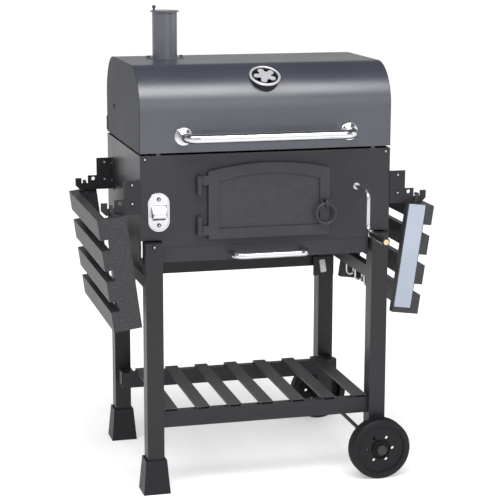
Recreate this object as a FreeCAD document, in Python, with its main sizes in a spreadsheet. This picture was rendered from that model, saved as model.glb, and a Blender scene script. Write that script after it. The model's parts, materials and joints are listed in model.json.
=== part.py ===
import FreeCAD, Part
import math
import os
import re

import Sketcher

# Charcoal trolley barbecue: a steel firebox with a hinged barrel lid on four legs, two of them on wheels.
# The firebox stands with its front to -Y. Every sub-part is drawn about the middle of the firebox and
# then moved back by body_mid, so that the origin lies on the floor under the middle of the whole thing.

doc = FreeCAD.newDocument("TrolleyBarbecue")
sheet = doc.addObject("Spreadsheet::Sheet", "Dims")

SIZES = {
    "firebox": [
        ("body_width", 600), ("body_depth", 420), ("body_top", 798), ("front_low", 585), ("side_low", 545),
        ("floor_height", 602), ("panel_wall", 1.5), ("body_mid", 76.5), ("ash_hole_width", 420),
        ("ash_hole_depth", 290), ("ledge_height", 783), ("ledge_reach", 18), ("grate_rod", 3),
        ("grate_pitch", 16.4), ("grate_rods", 17), ("grate_gap", 4), ("grate_length", 404), ("strap_wide", 8),
    ],
    "lid": [
        ("seam_gap", 5), ("lid_top", 996), ("front_round", 98), ("back_round", 95), ("spacer_reach", 257),
        ("hinge_out", 12), ("hinge_drop", 12), ("hinge_reach", 282), ("hinge_plate", 4), ("hinge_pin", 4),
        ("hinge_eye", 11), ("hinge_gap", 0.5), ("hinge_flange", 16), ("arm_rise", 55), ("pin_fit", 0.06),
    ],
    "lid fittings": [
        ("handle_height", 840), ("handle_half", 198), ("handle_reach", 52), ("handle_rod", 11),
        ("handle_bend", 26), ("rosette_radius", 21), ("rosette_thick", 6), ("chimney_across", -182),
        ("chimney_back", 66), ("chimney_radius", 30), ("chimney_height", 109), ("chimney_wall", 1.5),
        ("flange_radius", 47), ("flange_thick", 2), ("flange_bolts", 40), ("cap_radius", 35), ("cap_thick", 2),
        ("cap_gap", 0.6), ("cap_pivot", 26), ("pivot_rod", 2.2), ("knob_radius", 4.4),
        ("knob_tall", 12), ("vent_tilt", 59), ("vent_slide", 25), ("vent_radius", 36), ("vent_rim", 5),
        ("vent_step", 3), ("vent_rise", 5), ("vent_holes", 5), ("vent_circle", 19), ("vent_hole", 6.5),
        ("vent_petal", 7.5), ("vent_sheet", 1.5), ("vent_gap", 0.4),
    ],
    "stoking door": [
        ("door_across", 4), ("door_low", 600), ("door_width", 292), ("door_side", 158), ("door_rise", 17),
        ("door_plate", 4), ("door_frame", 4), ("frame_band", 24), ("door_lap", 16), ("door_gap", 0.6),
        ("door_hinge_out", 21), ("door_hinge_front", 9), ("lug_tall", 22), ("lug_upper", 727),
        ("lug_lower", 610), ("knuckle", 6.5), ("door_pin", 3), ("ring_across", 138), ("ring_height", 676),
        ("ring_radius", 23.5), ("ring_rod", 3.5), ("ring_front", 22), ("ring_eye", 5.5), ("ring_ear", 5),
    ],
    "ash drawer": [
        ("drawer_top", 584.5), ("drawer_low", 549), ("drawer_half", 249), ("pan_half", 243), ("pan_back", 150),
        ("pan_top", 582), ("pan_low", 552.5), ("runner_lip", 10), ("runner_gap", 1.5), ("drawer_grip_half", 86),
        ("drawer_grip_height", 566), ("drawer_grip_reach", 50), ("drawer_grip_rod", 7.5), ("drawer_grip_bend", 20),
    ],
    "charcoal lift": [
        ("crank_across", 217), ("crank_height", 710), ("crank_rod", 4.5), ("crank_front", 90),
        ("crank_throw", 93), ("crank_bend", 20), ("grip_start", 20), ("grip_length", 108), ("grip_thin", 7.5),
        ("grip_thick", 10), ("bushing_radius", 8), ("bushing_long", 8), ("module", 2.5), ("teeth", 10),
        ("pressure_angle", 25), ("addendum", 2), ("dedendum", 2.6), ("tooth_play", 0.35), ("rack_inset", 10),
        ("rack_wide", 10), ("rack_back", 7), ("rack_low", 640), ("rack_top", 720), ("tray_left", -245),
        ("tray_width", 420), ("tray_depth", 330), ("tray_tall", 45), ("tray_low", 640), ("tray_wall", 1.5),
        ("tray_travel", 60), ("guide_low", 712), ("guide_top", 726), ("slide_gap", 0.4), ("coal_rods", 20),
        ("coal_pitch", 20), ("tongue_half", 8), ("tongue_tall", 30),
    ],
    "frame": [
        ("frame_width", 584), ("frame_depth", 460), ("leg_size", 40), ("leg_wall", 1.5), ("leg_top", 598),
        ("leg_gap", 2), ("foot_height", 81), ("foot_top", 50), ("foot_sole", 64), ("foot_floor", 6),
        ("socket_gap", 0.25), ("apron_thick", 20), ("side_apron_low", 478), ("side_apron_tall", 30),
        ("rear_apron_low", 431), ("rear_apron_tall", 40), ("rear_apron_inset", 10), ("end_plate_low", 407),
        ("end_plate_tall", 50), ("end_plate_wide", 55), ("plate", 3), ("shelf_low", 155), ("shelf_tall", 39),
        ("shelf_front", 217), ("shelf_back", 146), ("shelf_rail", 20), ("rail_bracket", 32),
        ("slat_count", 7), ("slat_pitch", 77.5), ("slat_wide", 32), ("slat_thick", 6),
    ],
    "wheels": [
        ("wheel_radius", 74), ("wheel_wide", 34), ("axle_radius", 5), ("axle_fit", 0.08), ("wheel_gap", 4),
        ("wheel_play", 0.4), ("hub_radius", 19), ("rim_inner", 58), ("web_in", 6), ("web_thick", 6),
        ("wheel_holes", 6), ("wheel_hole", 3.6), ("hole_circle", 31), ("cap_dome", 15), ("dome_thick", 7),
        ("tread_round", 3),
    ],
    "side tables": [
        ("hook_out", 91), ("hook_low", 665), ("hook_arm", 700), ("hook_plate_top", 743), ("hook_root", 38),
        ("notch_near", 60), ("notch_far", 76), ("notch_floor", 681), ("hook_tip", 694), ("hook_chamfer", 11),
        ("lock_out", 47), ("lock_height", 692), ("lock_hole", 4.5),
        ("front_hook", -213), ("rear_hook", 156), ("angle_wall", 2.5), ("angle_long", 36), ("table_tilt", 7.7),
        ("pin_radius", 3.5), ("pin_gap", 0.3), ("rail_top", 21.2), ("rail_long", 264), ("rail_inner", 27),
        ("rail_wide", 46), ("rail_thick", 20), ("rail_gap", 4), ("slat_stand", 20), ("slat_tall", 47),
        ("slat_step", 72.3), ("table_slats", 4), ("lug_half", 4.5), ("lug_down", 75),
        ("table_wall", 1),
    ],
    "small things": [
        ("bolt_rod", 3), ("bolt_head", 4.5), ("head_thick", 3.5), ("hole_gap", 0.2), ("leg_bolt_high", 585),
        ("leg_bolt_low", 560), ("bolt_inset", 10), ("front_bolt", 590), ("corner_bolt", 790),
        ("end_screw_back", 113), ("end_screw_height", 876), ("opener_across", -257),
        ("opener_height", 667.5), ("opener_wide", 51), ("opener_tall", 91), ("opener_plate", 3),
        ("opener_mouth", 36), ("opener_bulge", 17), ("opener_skin", 2.5), ("opener_lift", 1), ("opener_screw", 30),
        ("hook_wire", 2.5), ("hook_bar_half", 80), ("hook_bar_back", 30),
        ("hook_bar_height", 470), ("hook_bar_out", 8), ("hook_count", 3), ("hook_drop", 34), ("hook_turn", 9),
    ],
}


def fill_sheet():
    """One row for each size: its name, its value, and the group it belongs to."""
    row = 0
    for group, sizes in SIZES.items():
        for alias, number in sizes:
            row += 1
            sheet.set("A%d" % row, alias)
            sheet.set("B%d" % row, str(number))
            sheet.set("C%d" % row, group)
            sheet.setAlias("B%d" % row, alias)
    doc.recompute()


def dims(text):
    """Point every size named in an expression at the sheet."""
    return re.sub(r"\b(?!sin\b|cos\b|tan\b|sqrt\b)([a-z][a-z_]+)\b", r"Dims.\1", str(text))


def value(text):
    return float(sheet.evalExpression(dims(text)))


def bind(item, **sizes):
    for name, text in sizes.items():
        item.setExpression(name, dims(text))
    return item


def place(item, x="0", y="0", z="0", turn=None):
    if turn is not None:
        item.Placement = FreeCAD.Placement(FreeCAD.Vector(), turn)
    for axis, text in zip("xyz", (x, y, z)):
        item.setExpression(".Placement.Base." + axis, dims(text))
    return item


ALONG = {
    "-Z": FreeCAD.Rotation(FreeCAD.Vector(1, 0, 0), 180),
    "X": FreeCAD.Rotation(FreeCAD.Vector(0, 1, 0), 90),
    "-X": FreeCAD.Rotation(FreeCAD.Vector(0, 1, 0), -90),
    "Y": FreeCAD.Rotation(FreeCAD.Vector(1, 0, 0), -90),
    "-Y": FreeCAD.Rotation(FreeCAD.Vector(1, 0, 0), 90),
    "Z": FreeCAD.Rotation(),
}


def box(x, y, z, long_x, long_y, long_z):
    """A block from its lowest corner and its three sides."""
    block = bind(doc.addObject("Part::Box", "Block"), Length=long_x, Width=long_y, Height=long_z)
    return place(block, x, y, z)


def rod(along, x, y, z, radius, length):
    """A round bar from the middle of its first end."""
    bar = bind(doc.addObject("Part::Cylinder", "Rod"), Radius=radius, Height=length)
    return place(bar, x, y, z, ALONG[along])


def elbow(x, y, z, bend, radius, start, end):
    """A quarter bend about a centre, from one side of it to another (two unit directions)."""
    first = FreeCAD.Vector(*start)
    second = FreeCAD.Vector(*end)
    turn = FreeCAD.Rotation(first, second, first.cross(second), "XYZ")
    ring = bind(doc.addObject("Part::Torus", "Elbow"), Radius1=bend, Radius2=radius)
    ring.Angle3 = 90
    return place(ring, x, y, z, turn)


def fuse(*pieces):
    joined = doc.addObject("Part::MultiFuse", "Joined")
    joined.Shapes = list(pieces)
    return joined


def group(*pieces):
    together = doc.addObject("Part::Compound", "Group")
    together.Links = list(pieces)
    return together


def cut(base, *tools):
    result = doc.addObject("Part::Cut", "Trimmed")
    result.Base = base
    result.Tool = tools[0] if len(tools) == 1 else group(*tools)
    return result


def common(first, second):
    shared = doc.addObject("Part::MultiCommon", "Shared")
    shared.Shapes = [first, second]
    return shared


def origin_plane(body, role):
    return [item for item in body.Origin.OriginFeatures if item.Role == role][0]


def outline(body, role, points, offset):
    """A closed sketch of straight lines whose corners are tied to the sheet."""
    sketch = body.newObject("Sketcher::SketchObject", "Outline")
    sketch.AttachmentSupport = [(origin_plane(body, role), "")]
    sketch.MapMode = "FlatFace"
    sketch.setExpression(".AttachmentOffset.Base.z", dims(offset))
    corners = [FreeCAD.Vector(value(u), value(v), 0) for u, v in points]
    count = len(corners)
    for index in range(count):
        sketch.addGeometry(Part.LineSegment(corners[index], corners[(index + 1) % count]))
    for index in range(count):
        sketch.addConstraint(Sketcher.Constraint("Coincident", index, 2, (index + 1) % count, 1))
    for index, (u, v) in enumerate(points):
        for kind, text, number in (("DistanceX", u, corners[index].x), ("DistanceY", v, corners[index].y)):
            row = sketch.addConstraint(Sketcher.Constraint(kind, -1, 1, index, 1, number))
            sketch.setExpression("Constraints[%d]" % row, dims(text))
    return sketch


PLANES = {"X": ("YZ_Plane", "{}", False), "Y": ("XZ_Plane", "-({})", True), "Z": ("XY_Plane", "{}", False)}


def extrude(along, start, length, points):
    """A pad of an outline along one axis. Points are (Y, Z), (X, Z) or (X, Y)."""
    role, offset, backwards = PLANES[along]
    body = doc.addObject("PartDesign::Body", "Pressing")
    sketch = outline(body, role, points, offset.format(start))
    pad = body.newObject("PartDesign::Pad", "Pad")
    pad.Profile = sketch
    pad.Reversed = backwards
    pad.setExpression("Length", dims(length))
    sketch.Visibility = False
    body.Tip = pad
    return body


def round_edges(body, spots):
    """Fillet the long edges that pass through the given (Y, Z) corners of a pad along X."""
    doc.recompute()
    for y, z, radius in spots:
        base = body.Tip
        chosen = []
        for index, edge in enumerate(base.Shape.Edges, 1):
            middle = edge.CenterOfMass
            if abs(middle.y - value(y)) < 0.01 and abs(middle.z - value(z)) < 0.01:
                chosen.append("Edge%d" % index)
        fillet = body.newObject("PartDesign::Fillet", "Round")
        fillet.Base = (base, chosen)
        fillet.setExpression("Radius", dims(radius))
        body.Tip = fillet
        doc.recompute()
    return body


def turned(points):
    """A solid of revolution about Z. Points are (radius, height)."""
    body = doc.addObject("PartDesign::Body", "Turning")
    sketch = outline(body, "XZ_Plane", points, "0")
    spin = body.newObject("PartDesign::Revolution", "Revolution")
    spin.Profile = sketch
    spin.ReferenceAxis = (sketch, ["V_Axis"])
    spin.Angle = 360
    sketch.Visibility = False
    body.Tip = spin
    return body


def screw(along, x, y, z, shank, collar="0"):
    """A bolt: its head stands off the given point, its shank goes on from there, with an optional collar."""
    parts = [
        place(bind(doc.addObject("Part::Cylinder", "Head"), Radius="bolt_head", Height="head_thick"),
              z="-head_thick"),
        bind(doc.addObject("Part::Cylinder", "Shank"), Radius="bolt_rod", Height=shank),
    ]
    if collar != "0":
        ring = bind(doc.addObject("Part::Cylinder", "Collar"), Radius="bolt_head", Height=collar)
        parts.append(place(ring, z="panel_wall"))
    return place(fuse(*parts), x, y, z, ALONG[along])


NODES = []
HALF = "body_width / 2"
INSIDE = "(body_width / 2 - panel_wall)"
FRONT = "(-body_depth / 2)"
BACK = "(body_depth / 2)"
LEG_IN = "(frame_width / 2 - leg_size)"
LEG_NEAR = "(frame_depth / 2 - leg_size)"
LEG_MID = "(frame_width - leg_size) / 2"
LID_LOW = "(body_top + seam_gap)"
HOLE = "bolt_rod + hole_gap"
SIDES = (("left", -1), ("right", 1))


def node(name, *pieces):
    """Name a sub-part and stand it in its place."""
    whole = group(*pieces)
    whole.Label = name
    place(whole, y="body_mid")
    NODES.append(whole)
    return whole


# ---- Firebox: folded sheet panels ------------------------------------------------------------------------

def arched(width, side, rise, low, start, thick):
    """A plate with a flat foot, straight sides and a shallow arch on top."""
    arch_radius = "((%s) ^ 2 / 4 + (%s) ^ 2) / (2 * (%s))" % (width, rise, rise)
    slab = box("door_across - (%s) / 2" % width, start, low, width, thick, "%s + %s" % (side, rise))
    drum = rod("Y", "door_across", start, "%s + %s + %s - %s" % (low, side, rise, arch_radius), arch_radius, thick)
    return common(slab, drum)


def end_sheet(start, low):
    """A wall sheet between the side panels, notched at its lower corners for the legs."""
    reach = LEG_IN + " - leg_gap"
    return extrude("Y", start, "panel_wall", [
        ("-" + INSIDE, "floor_height"), ("-(%s)" % reach, "floor_height"), ("-(%s)" % reach, low),
        (reach, low), (reach, "floor_height"), (INSIDE, "floor_height"), (INSIDE, "body_top"),
        ("-" + INSIDE, "body_top"),
    ])


def front_panel():
    doorway = arched("door_width - 2 * door_lap", "door_side - 2 * door_lap", "door_rise", "door_low + door_lap",
                     FRONT + " - plate", "2 * plate + panel_wall")
    shaft_hole = rod("Y", "crank_across", FRONT + " - plate", "crank_height", "bushing_radius",
                     "2 * plate + panel_wall")
    corner_holes = [rod("Y", "%d * (%s - bolt_inset)" % (sign, INSIDE), FRONT + " - plate", "corner_bolt", HOLE,
                        "2 * plate + panel_wall") for sign in (-1, 1)]
    node("front_panel", cut(end_sheet(FRONT, "front_low"), doorway, shaft_hole, *corner_holes))


def rear_panel():
    node("rear_panel", end_sheet(BACK + " - panel_wall", "side_low"))


def side_hole(sign, y, z):
    start = "-%s - plate" % HALF if sign < 0 else INSIDE + " - plate"
    return rod("X", start, y, z, HOLE, "2 * plate + panel_wall")


def leg_bolt_spots():
    """Where the legs are bolted to the side panels: (Y, Z)."""
    return [("%d * (%s - bolt_inset)" % (way, BACK), height)
            for way in (-1, 1) for height in ("leg_bolt_low", "leg_bolt_high")]


def angle_bolt_spots():
    """Where the table brackets are bolted to the side panels: (Y, Z)."""
    spots = []
    for y in ("front_hook + plate + angle_long - bolt_inset", "rear_hook - angle_long + bolt_inset"):
        for z in ("hook_arm - bolt_inset", "hook_plate_top - bolt_inset"):
            spots.append((y, z))
    return spots


def side_panels():
    for name, sign in SIDES:
        start = "-" + HALF if sign < 0 else INSIDE
        sheet_body = box(start, FRONT, "side_low", "panel_wall", "body_depth", "body_top - side_low")
        holes = [side_hole(sign, y, z) for y, z in leg_bolt_spots() + angle_bolt_spots()]
        node(name + "_side_panel", cut(sheet_body, *holes))


def firebox_floor():
    plate = box("-" + INSIDE, FRONT + " + panel_wall", "floor_height", "2 * " + INSIDE,
                "body_depth - 2 * panel_wall", "panel_wall")
    ash_hole = box("-ash_hole_width / 2", "-ash_hole_depth / 2", "floor_height - plate", "ash_hole_width",
                   "ash_hole_depth", "2 * plate")
    node("firebox_floor", cut(plate, ash_hole))


def grate_ledges():
    """An angle along the front wall and one along the rear wall, which carry the cooking grates."""
    angles = []
    inner = "(body_depth / 2 - panel_wall)"
    for sign in (-1, 1):
        top = box("-%s + plate" % INSIDE, inner + " - ledge_reach" if sign > 0 else "-" + inner,
                  "ledge_height - panel_wall", "2 * (%s - plate)" % INSIDE, "ledge_reach", "panel_wall")
        web = box("-%s + plate" % INSIDE, inner + " - panel_wall" if sign > 0 else "-" + inner,
                  "ledge_height - ledge_reach", "2 * (%s - plate)" % INSIDE, "panel_wall",
                  "ledge_reach - panel_wall")
        angles.append(fuse(top, web))
    node("grate_ledges", *angles)


def bar_grate(middle, length, count, pitch, height, radius):
    """Round bars from front to back, welded on two flat straps under them."""
    bars = []
    for index in range(int(value(count))):
        across = "%s + (%d - (%s - 1) / 2) * %s" % (middle, index, count, pitch)
        bars.append(rod("Y", across, "-(%s) / 2" % length, height, radius, length))
    for way in (-1, 1):
        bars.append(box("%s - (%s + 1) / 2 * %s" % (middle, count, pitch),
                        "%d * (%s) / 3 - strap_wide / 2" % (way, length), "%s - 2 * %s" % (height, radius),
                        "(%s + 1) * %s" % (count, pitch), "strap_wide", "1.5 * %s" % radius))
    return fuse(*bars)


def cooking_grates():
    for name, sign in SIDES:
        middle = "%d * ((grate_rods + 1) * grate_pitch + grate_gap) / 2" % sign
        node(name + "_cooking_grate", bar_grate(middle, "grate_length", "grate_rods", "grate_pitch",
                                                "ledge_height + grate_rod", "grate_rod"))


# ---- Lid: a rolled hood with flat ends -------------------------------------------------------------------

def hood(start, length, inset, low):
    """A block with the section of the hood: square at the foot, round at the two top edges."""
    near = "%s + %s" % (FRONT, inset)
    far = "%s - %s" % (BACK, inset)
    top = "lid_top - %s" % inset
    block = extrude("X", start, length, [(near, low), (far, low), (far, top), (near, top)])
    return round_edges(block, [(near, top, "front_round - %s" % inset), (far, top, "back_round - %s" % inset)])


def lid_shell():
    outer = hood("-" + INSIDE, "2 * " + INSIDE, "0", LID_LOW)
    inner = hood("-" + HALF, "body_width", "panel_wall", LID_LOW + " - plate")
    smoke_hole = rod("Z", "chimney_across", "chimney_back", "lid_top - 2 * plate",
                     "chimney_radius - chimney_wall", "4 * plate")
    node("lid_shell", cut(outer, inner, smoke_hole, vent_axis_rod("-front_round / 2", "vent_radius - 2 * vent_rim",
                                                                  "front_round"), *chimney_bolt_holes()))


def lid_ends():
    for name, sign in SIDES:
        end = hood("-" + HALF if sign < 0 else INSIDE, "panel_wall", "0", LID_LOW)
        node("lid_%s_end" % name, cut(end, side_hole(sign, "end_screw_back", "end_screw_height")))


def seam_spacers():
    blocks = [box("%d * spacer_reach - bolt_head" % sign, FRONT, "body_top", "2 * bolt_head", "2 * plate",
                  "seam_gap - pin_gap") for sign in (-1, 1)]
    node("seam_spacers", *blocks)


HINGE_Y = "(body_depth / 2 + hinge_out)"
HINGE_Z = "(body_top - hinge_drop)"


def lid_hinges():
    """Two hinges behind the seam: an eye on the rear panel holds the pin, an arm on the lid turns on it."""
    brackets = []
    arms = []
    for sign in (-1, 1):
        start = "%d * hinge_reach - hinge_plate / 2" % sign
        eye = fuse(rod("X", start, HINGE_Y, HINGE_Z, "hinge_eye", "hinge_plate"),
                   box(start, BACK, HINGE_Z + " - hinge_eye", "hinge_plate", "hinge_out", "2 * hinge_eye"))
        pad = box("%s - hinge_flange" % start if sign > 0 else "%s + hinge_plate" % start, BACK,
                  HINGE_Z + " - hinge_eye", "hinge_flange", "panel_wall", "2 * hinge_eye")
        arm_start = "%s + %d * (hinge_plate + hinge_gap)" % (start, sign)
        pin_start = "%s - plate" % start if sign > 0 else "%s - 2 * plate - hinge_plate - hinge_gap" % start
        pin = rod("X", pin_start, HINGE_Y, HINGE_Z, "hinge_pin", "2 * hinge_plate + hinge_gap + 3 * plate")
        brackets.append(fuse(eye, pad, pin))
        strap = fuse(rod("X", arm_start, HINGE_Y, HINGE_Z, "hinge_eye", "hinge_plate"),
                     box(arm_start, HINGE_Y + " - hinge_eye", HINGE_Z, "hinge_plate", "2 * hinge_eye", "arm_rise"),
                     box(arm_start, BACK, LID_LOW + " + plate", "hinge_plate", "hinge_out",
                         HINGE_Z + " + arm_rise - plate - " + LID_LOW),
                     box("%s + hinge_plate" % arm_start if sign > 0 else "%s - hinge_flange + plate" % arm_start,
                         BACK, LID_LOW + " + plate", "hinge_flange - plate", "panel_wall",
                         HINGE_Z + " + arm_rise - plate - " + LID_LOW))
        arms.append(cut(strap, rod("X", "%s - plate" % arm_start, HINGE_Y, HINGE_Z, "hinge_pin + pin_fit",
                                   "hinge_plate + 2 * plate")))
    node("lid_hinge_brackets", *brackets)
    node("lid_hinge_arms", *arms)


def half_bow(half, height, reach, bend, radius):
    """The right half of a round bar that is bent back to the firebox at both ends."""
    front = "%s - %s" % (FRONT, reach)
    return fuse(
        rod("X", "0", front, height, radius, "%s - %s" % (half, bend)),
        elbow("%s - %s" % (half, bend), front + " + " + bend, height, bend, radius, (0, -1, 0), (1, 0, 0)),
        rod("Y", half, front + " + " + bend, height, radius, "%s - %s" % (reach, bend)),
    )


def tube_handle(half, height, reach, bend, radius):
    """A bent tube, drawn as its right half and its mirror image."""
    sizes = (half, height, reach, bend)
    right = cut(half_bow(*sizes, radius), half_bow(*sizes, radius + " - leg_wall"))
    left = doc.addObject("Part::Mirroring", "Mirrored")
    left.Source = right
    left.Normal = FreeCAD.Vector(1, 0, 0)
    return fuse(right, left)


def lid_handle():
    node("lid_handle", cut(tube_handle("handle_half", "handle_height", "handle_reach", "handle_bend", "handle_rod"),
                           *[rod("Y", "%d * handle_half" % sign, FRONT + " - rosette_thick / 2", "handle_height",
                                 "handle_rod + plate", "plate + rosette_thick") for sign in (-1, 1)]))
    discs = [turned([("0", "0"), ("rosette_radius", "0"), ("rosette_radius", "rosette_thick / 2"),
                     ("handle_rod + hole_gap", "rosette_thick"), ("handle_rod + hole_gap", "rosette_thick / 2"),
                     ("0", "rosette_thick / 2")])
             for _ in range(2)]
    for disc, sign in zip(discs, (-1, 1)):
        place(disc, "%d * handle_half" % sign, FRONT, "handle_height", ALONG["-Y"])
    node("handle_rosettes", *discs)


def chimney_bolt_holes():
    return [rod("Z", "chimney_across + %d * flange_bolts" % sign, "chimney_back", "lid_top - 2 * plate",
                HOLE, "4 * plate") for sign in (-1, 1)]


def chimney():
    inner = "chimney_radius - chimney_wall"
    stack = turned([(inner, "0"), ("flange_radius", "0"), ("flange_radius", "flange_thick"),
                    ("chimney_radius", "flange_thick"), ("chimney_radius", "chimney_height"),
                    (inner, "chimney_height")])
    place(stack, "chimney_across", "chimney_back", "lid_top")
    shelf = box("chimney_across - chimney_radius + chimney_wall / 2", "chimney_back - pivot_rod - plate",
                "lid_top + chimney_height - 4 * plate", "chimney_radius - cap_pivot + pivot_rod + plate",
                "2 * (pivot_rod + plate)", "plate")
    node("chimney", cut(fuse(stack, shelf), *chimney_bolt_holes()))


def lid_bolts():
    """The bolts of the chimney foot, the screws of the lid's ends and the pivot bolt of the cap."""
    bolts = []
    for sign in (-1, 1):
        bolts.append(screw("-Z", "chimney_across + %d * flange_bolts" % sign, "chimney_back",
                           "lid_top + flange_thick", "2 * plate + flange_thick"))
        bolts.append(screw("-X" if sign > 0 else "X", "%d * %s" % (sign, HALF), "end_screw_back",
                           "end_screw_height", "panel_wall + plate"))
    pivot = "chimney_across - cap_pivot"
    pin = rod("Z", pivot, "chimney_back", "lid_top + chimney_height - 3 * plate", "pivot_rod",
              "3 * plate + cap_gap + 1.5 * cap_thick + plate")
    knob = place(turned([("0", "0"), ("knob_radius / 2", "0"), ("knob_radius / 2", "knob_tall / 3"),
                         ("knob_radius", "knob_tall / 2"), ("knob_radius", "knob_tall - plate / 2"),
                         ("knob_radius - plate / 2", "knob_tall"), ("0", "knob_tall")]),
                 pivot, "chimney_back", "lid_top + chimney_height + 2 * cap_gap + 1.5 * cap_thick")
    node("lid_bolts", fuse(pin, knob), *bolts)


def chimney_cap():
    """A flat damper that turns aside about a bolt near its rim."""
    pivot = "chimney_across - cap_pivot"
    low = "lid_top + chimney_height + cap_gap"
    disc = rod("Z", "chimney_across", "chimney_back", low, "cap_radius", "cap_thick")
    lip = rod("Z", "chimney_across", "chimney_back", low + " + cap_thick", "cap_radius - plate", "cap_thick / 2")
    node("chimney_cap", cut(fuse(disc, lip), rod("Z", pivot, "chimney_back", low + " - plate",
                                                 "pivot_rod + pin_fit", "3 * plate")))


def on_vent(item, out):
    """Stand a piece on the front curve of the hood, facing outwards, so far from the plane that touches it."""
    rise = "(front_round + %s)" % out
    place(item, "0", "%s + front_round - %s * cos(vent_tilt) - vent_slide * sin(vent_tilt)" % (FRONT, rise),
          "lid_top - front_round + %s * sin(vent_tilt) - vent_slide * cos(vent_tilt)" % rise,
          FreeCAD.Rotation(FreeCAD.Vector(1, 0, 0), 45))
    item.setExpression(".Placement.Rotation.Angle", dims("90 - vent_tilt"))
    return item


def vent_axis_rod(out, radius, length):
    return on_vent(bind(doc.addObject("Part::Cylinder", "Bore"), Radius=radius, Height=length), out)


def around(count, circle, radius, length, spin="0"):
    """Upright cylinders on a circle about Z."""
    bars = []
    number = int(value(count))
    for index in range(number):
        angle = "(%d * 360 / %s + %s)" % (index, count, spin)
        bar = bind(doc.addObject("Part::Cylinder", "Bar"), Radius=radius, Height=length)
        bars.append(place(bar, "%s * cos%s" % (circle, angle), "%s * sin%s" % (circle, angle), "0"))
    return bars


def vent():
    """A round vent: a rim on a neck, a fixed plate with holes, and a shutter of petals that turns."""
    inner = "vent_radius - vent_rim"
    foot = "-front_round / 3"
    rim = turned([(inner, foot), ("vent_radius - vent_step", foot), ("vent_radius - vent_step", "0"),
                  ("vent_radius", "0"), ("vent_radius", "vent_rise - plate / 2"),
                  ("vent_radius - plate / 2", "vent_rise"), (inner + " + plate / 2", "vent_rise"),
                  (inner, "vent_rise - plate / 2")])
    on_vent(rim, "0")
    roll = rod("X", "-" + HALF, FRONT + " + front_round", "lid_top - front_round", "front_round", "body_width")
    base = bind(doc.addObject("Part::Cylinder", "Disc"), Radius=inner + " + vent_gap", Height="vent_sheet")
    rivet = bind(doc.addObject("Part::Cylinder", "Rivet"), Radius="pivot_rod", Height="3 * vent_sheet + vent_gap")
    plate = fuse(cut(base, *around("vent_holes", "vent_circle", "vent_hole", "vent_sheet")), rivet)
    node("vent_housing", fuse(cut(rim, roll), on_vent(plate, "vent_gap")))
    hub = bind(doc.addObject("Part::Cylinder", "Hub"), Radius="vent_circle - vent_petal / 2", Height="vent_sheet")
    petals = fuse(hub, *around("vent_holes", "vent_circle", "vent_petal", "vent_sheet", "180 / vent_holes"))
    hole = place(bind(doc.addObject("Part::Cylinder", "Eye"), Radius="pivot_rod + pin_fit", Height="3 * vent_sheet"),
                 z="-vent_sheet")
    node("vent_shutter", on_vent(cut(petals, hole), "(2 * vent_gap + vent_sheet)"))


# ---- Stoking door: a cast plate with a raised frame, hung on the left ------------------------------------

DOOR_BACK = "(-body_depth / 2 - door_gap)"
HINGE_X = "(door_across - door_width / 2 - door_hinge_out)"
HINGE_FRONT = "(-body_depth / 2 - door_hinge_front)"


def door():
    plate = arched("door_width", "door_side", "door_rise", "door_low", DOOR_BACK + " - door_plate", "door_plate")
    band_start = DOOR_BACK + " - door_plate - door_frame"
    band = cut(arched("door_width", "door_side", "door_rise", "door_low", band_start, "door_frame"),
               arched("door_width - 2 * frame_band", "door_side - 2 * frame_band", "door_rise",
                      "door_low + frame_band", band_start + " - plate", "door_frame + plate"))
    parts = [plate, band]
    for height in ("lug_upper", "lug_lower"):
        parts.append(box(HINGE_X, DOOR_BACK + " - door_plate - door_frame", height, "door_hinge_out + plate",
                         "door_plate + door_frame", "lug_tall"))
        parts.append(rod("Z", HINGE_X, HINGE_FRONT, height, "knuckle", "lug_tall"))
    ear_low = "ring_height - ring_eye - plate"
    parts.append(box("ring_across - ring_ear / 2", band_start + " - ring_front + 2 * ring_eye", ear_low, "ring_ear",
                     "ring_front - 2 * ring_eye", "2 * (ring_eye + plate)"))
    parts.append(rod("X", "ring_across - ring_ear / 2", band_start + " - ring_front + 2 * ring_eye", "ring_height",
                     "ring_eye + plate", "ring_ear"))
    holes = [rod("Z", HINGE_X, HINGE_FRONT, height + " - plate", "door_pin + pin_fit", "lug_tall + 2 * plate")
             for height in ("lug_upper", "lug_lower")]
    holes.append(rod("X", "ring_across - ring_ear", band_start + " - ring_front + 2 * ring_eye", "ring_height",
                     "ring_eye", "2 * ring_ear"))
    node("door_panel", cut(fuse(*parts), *holes))


def door_hinge_posts():
    """Two posts on the front panel, each with a pin that goes into a lug of the door."""
    posts = []
    for start, pin_start in (("lug_upper - lug_tall", "lug_upper - plate"),
                             ("lug_lower + lug_tall + pin_gap", "lug_lower + plate")):
        tall = "lug_tall - pin_gap"
        knuckle = rod("Z", HINGE_X, HINGE_FRONT, start, "knuckle", tall)
        foot = box(HINGE_X + " - knuckle", HINGE_FRONT, start, "2 * knuckle", "door_hinge_front", tall)
        posts.append(fuse(knuckle, foot, rod("Z", HINGE_X, HINGE_FRONT, pin_start, "door_pin", "lug_tall")))
    node("door_hinge_posts", *posts)


def ring_handle():
    ring = bind(doc.addObject("Part::Torus", "Ring"), Radius1="ring_radius", Radius2="ring_rod")
    place(ring, "ring_across", DOOR_BACK + " - door_plate - door_frame - ring_front + 2 * ring_eye",
          "ring_height - ring_eye + ring_rod + pin_gap - ring_radius", ALONG["Y"])
    node("ring_handle", ring)


# ---- Ash drawer -----------------------------------------------------------------------------------------

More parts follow.
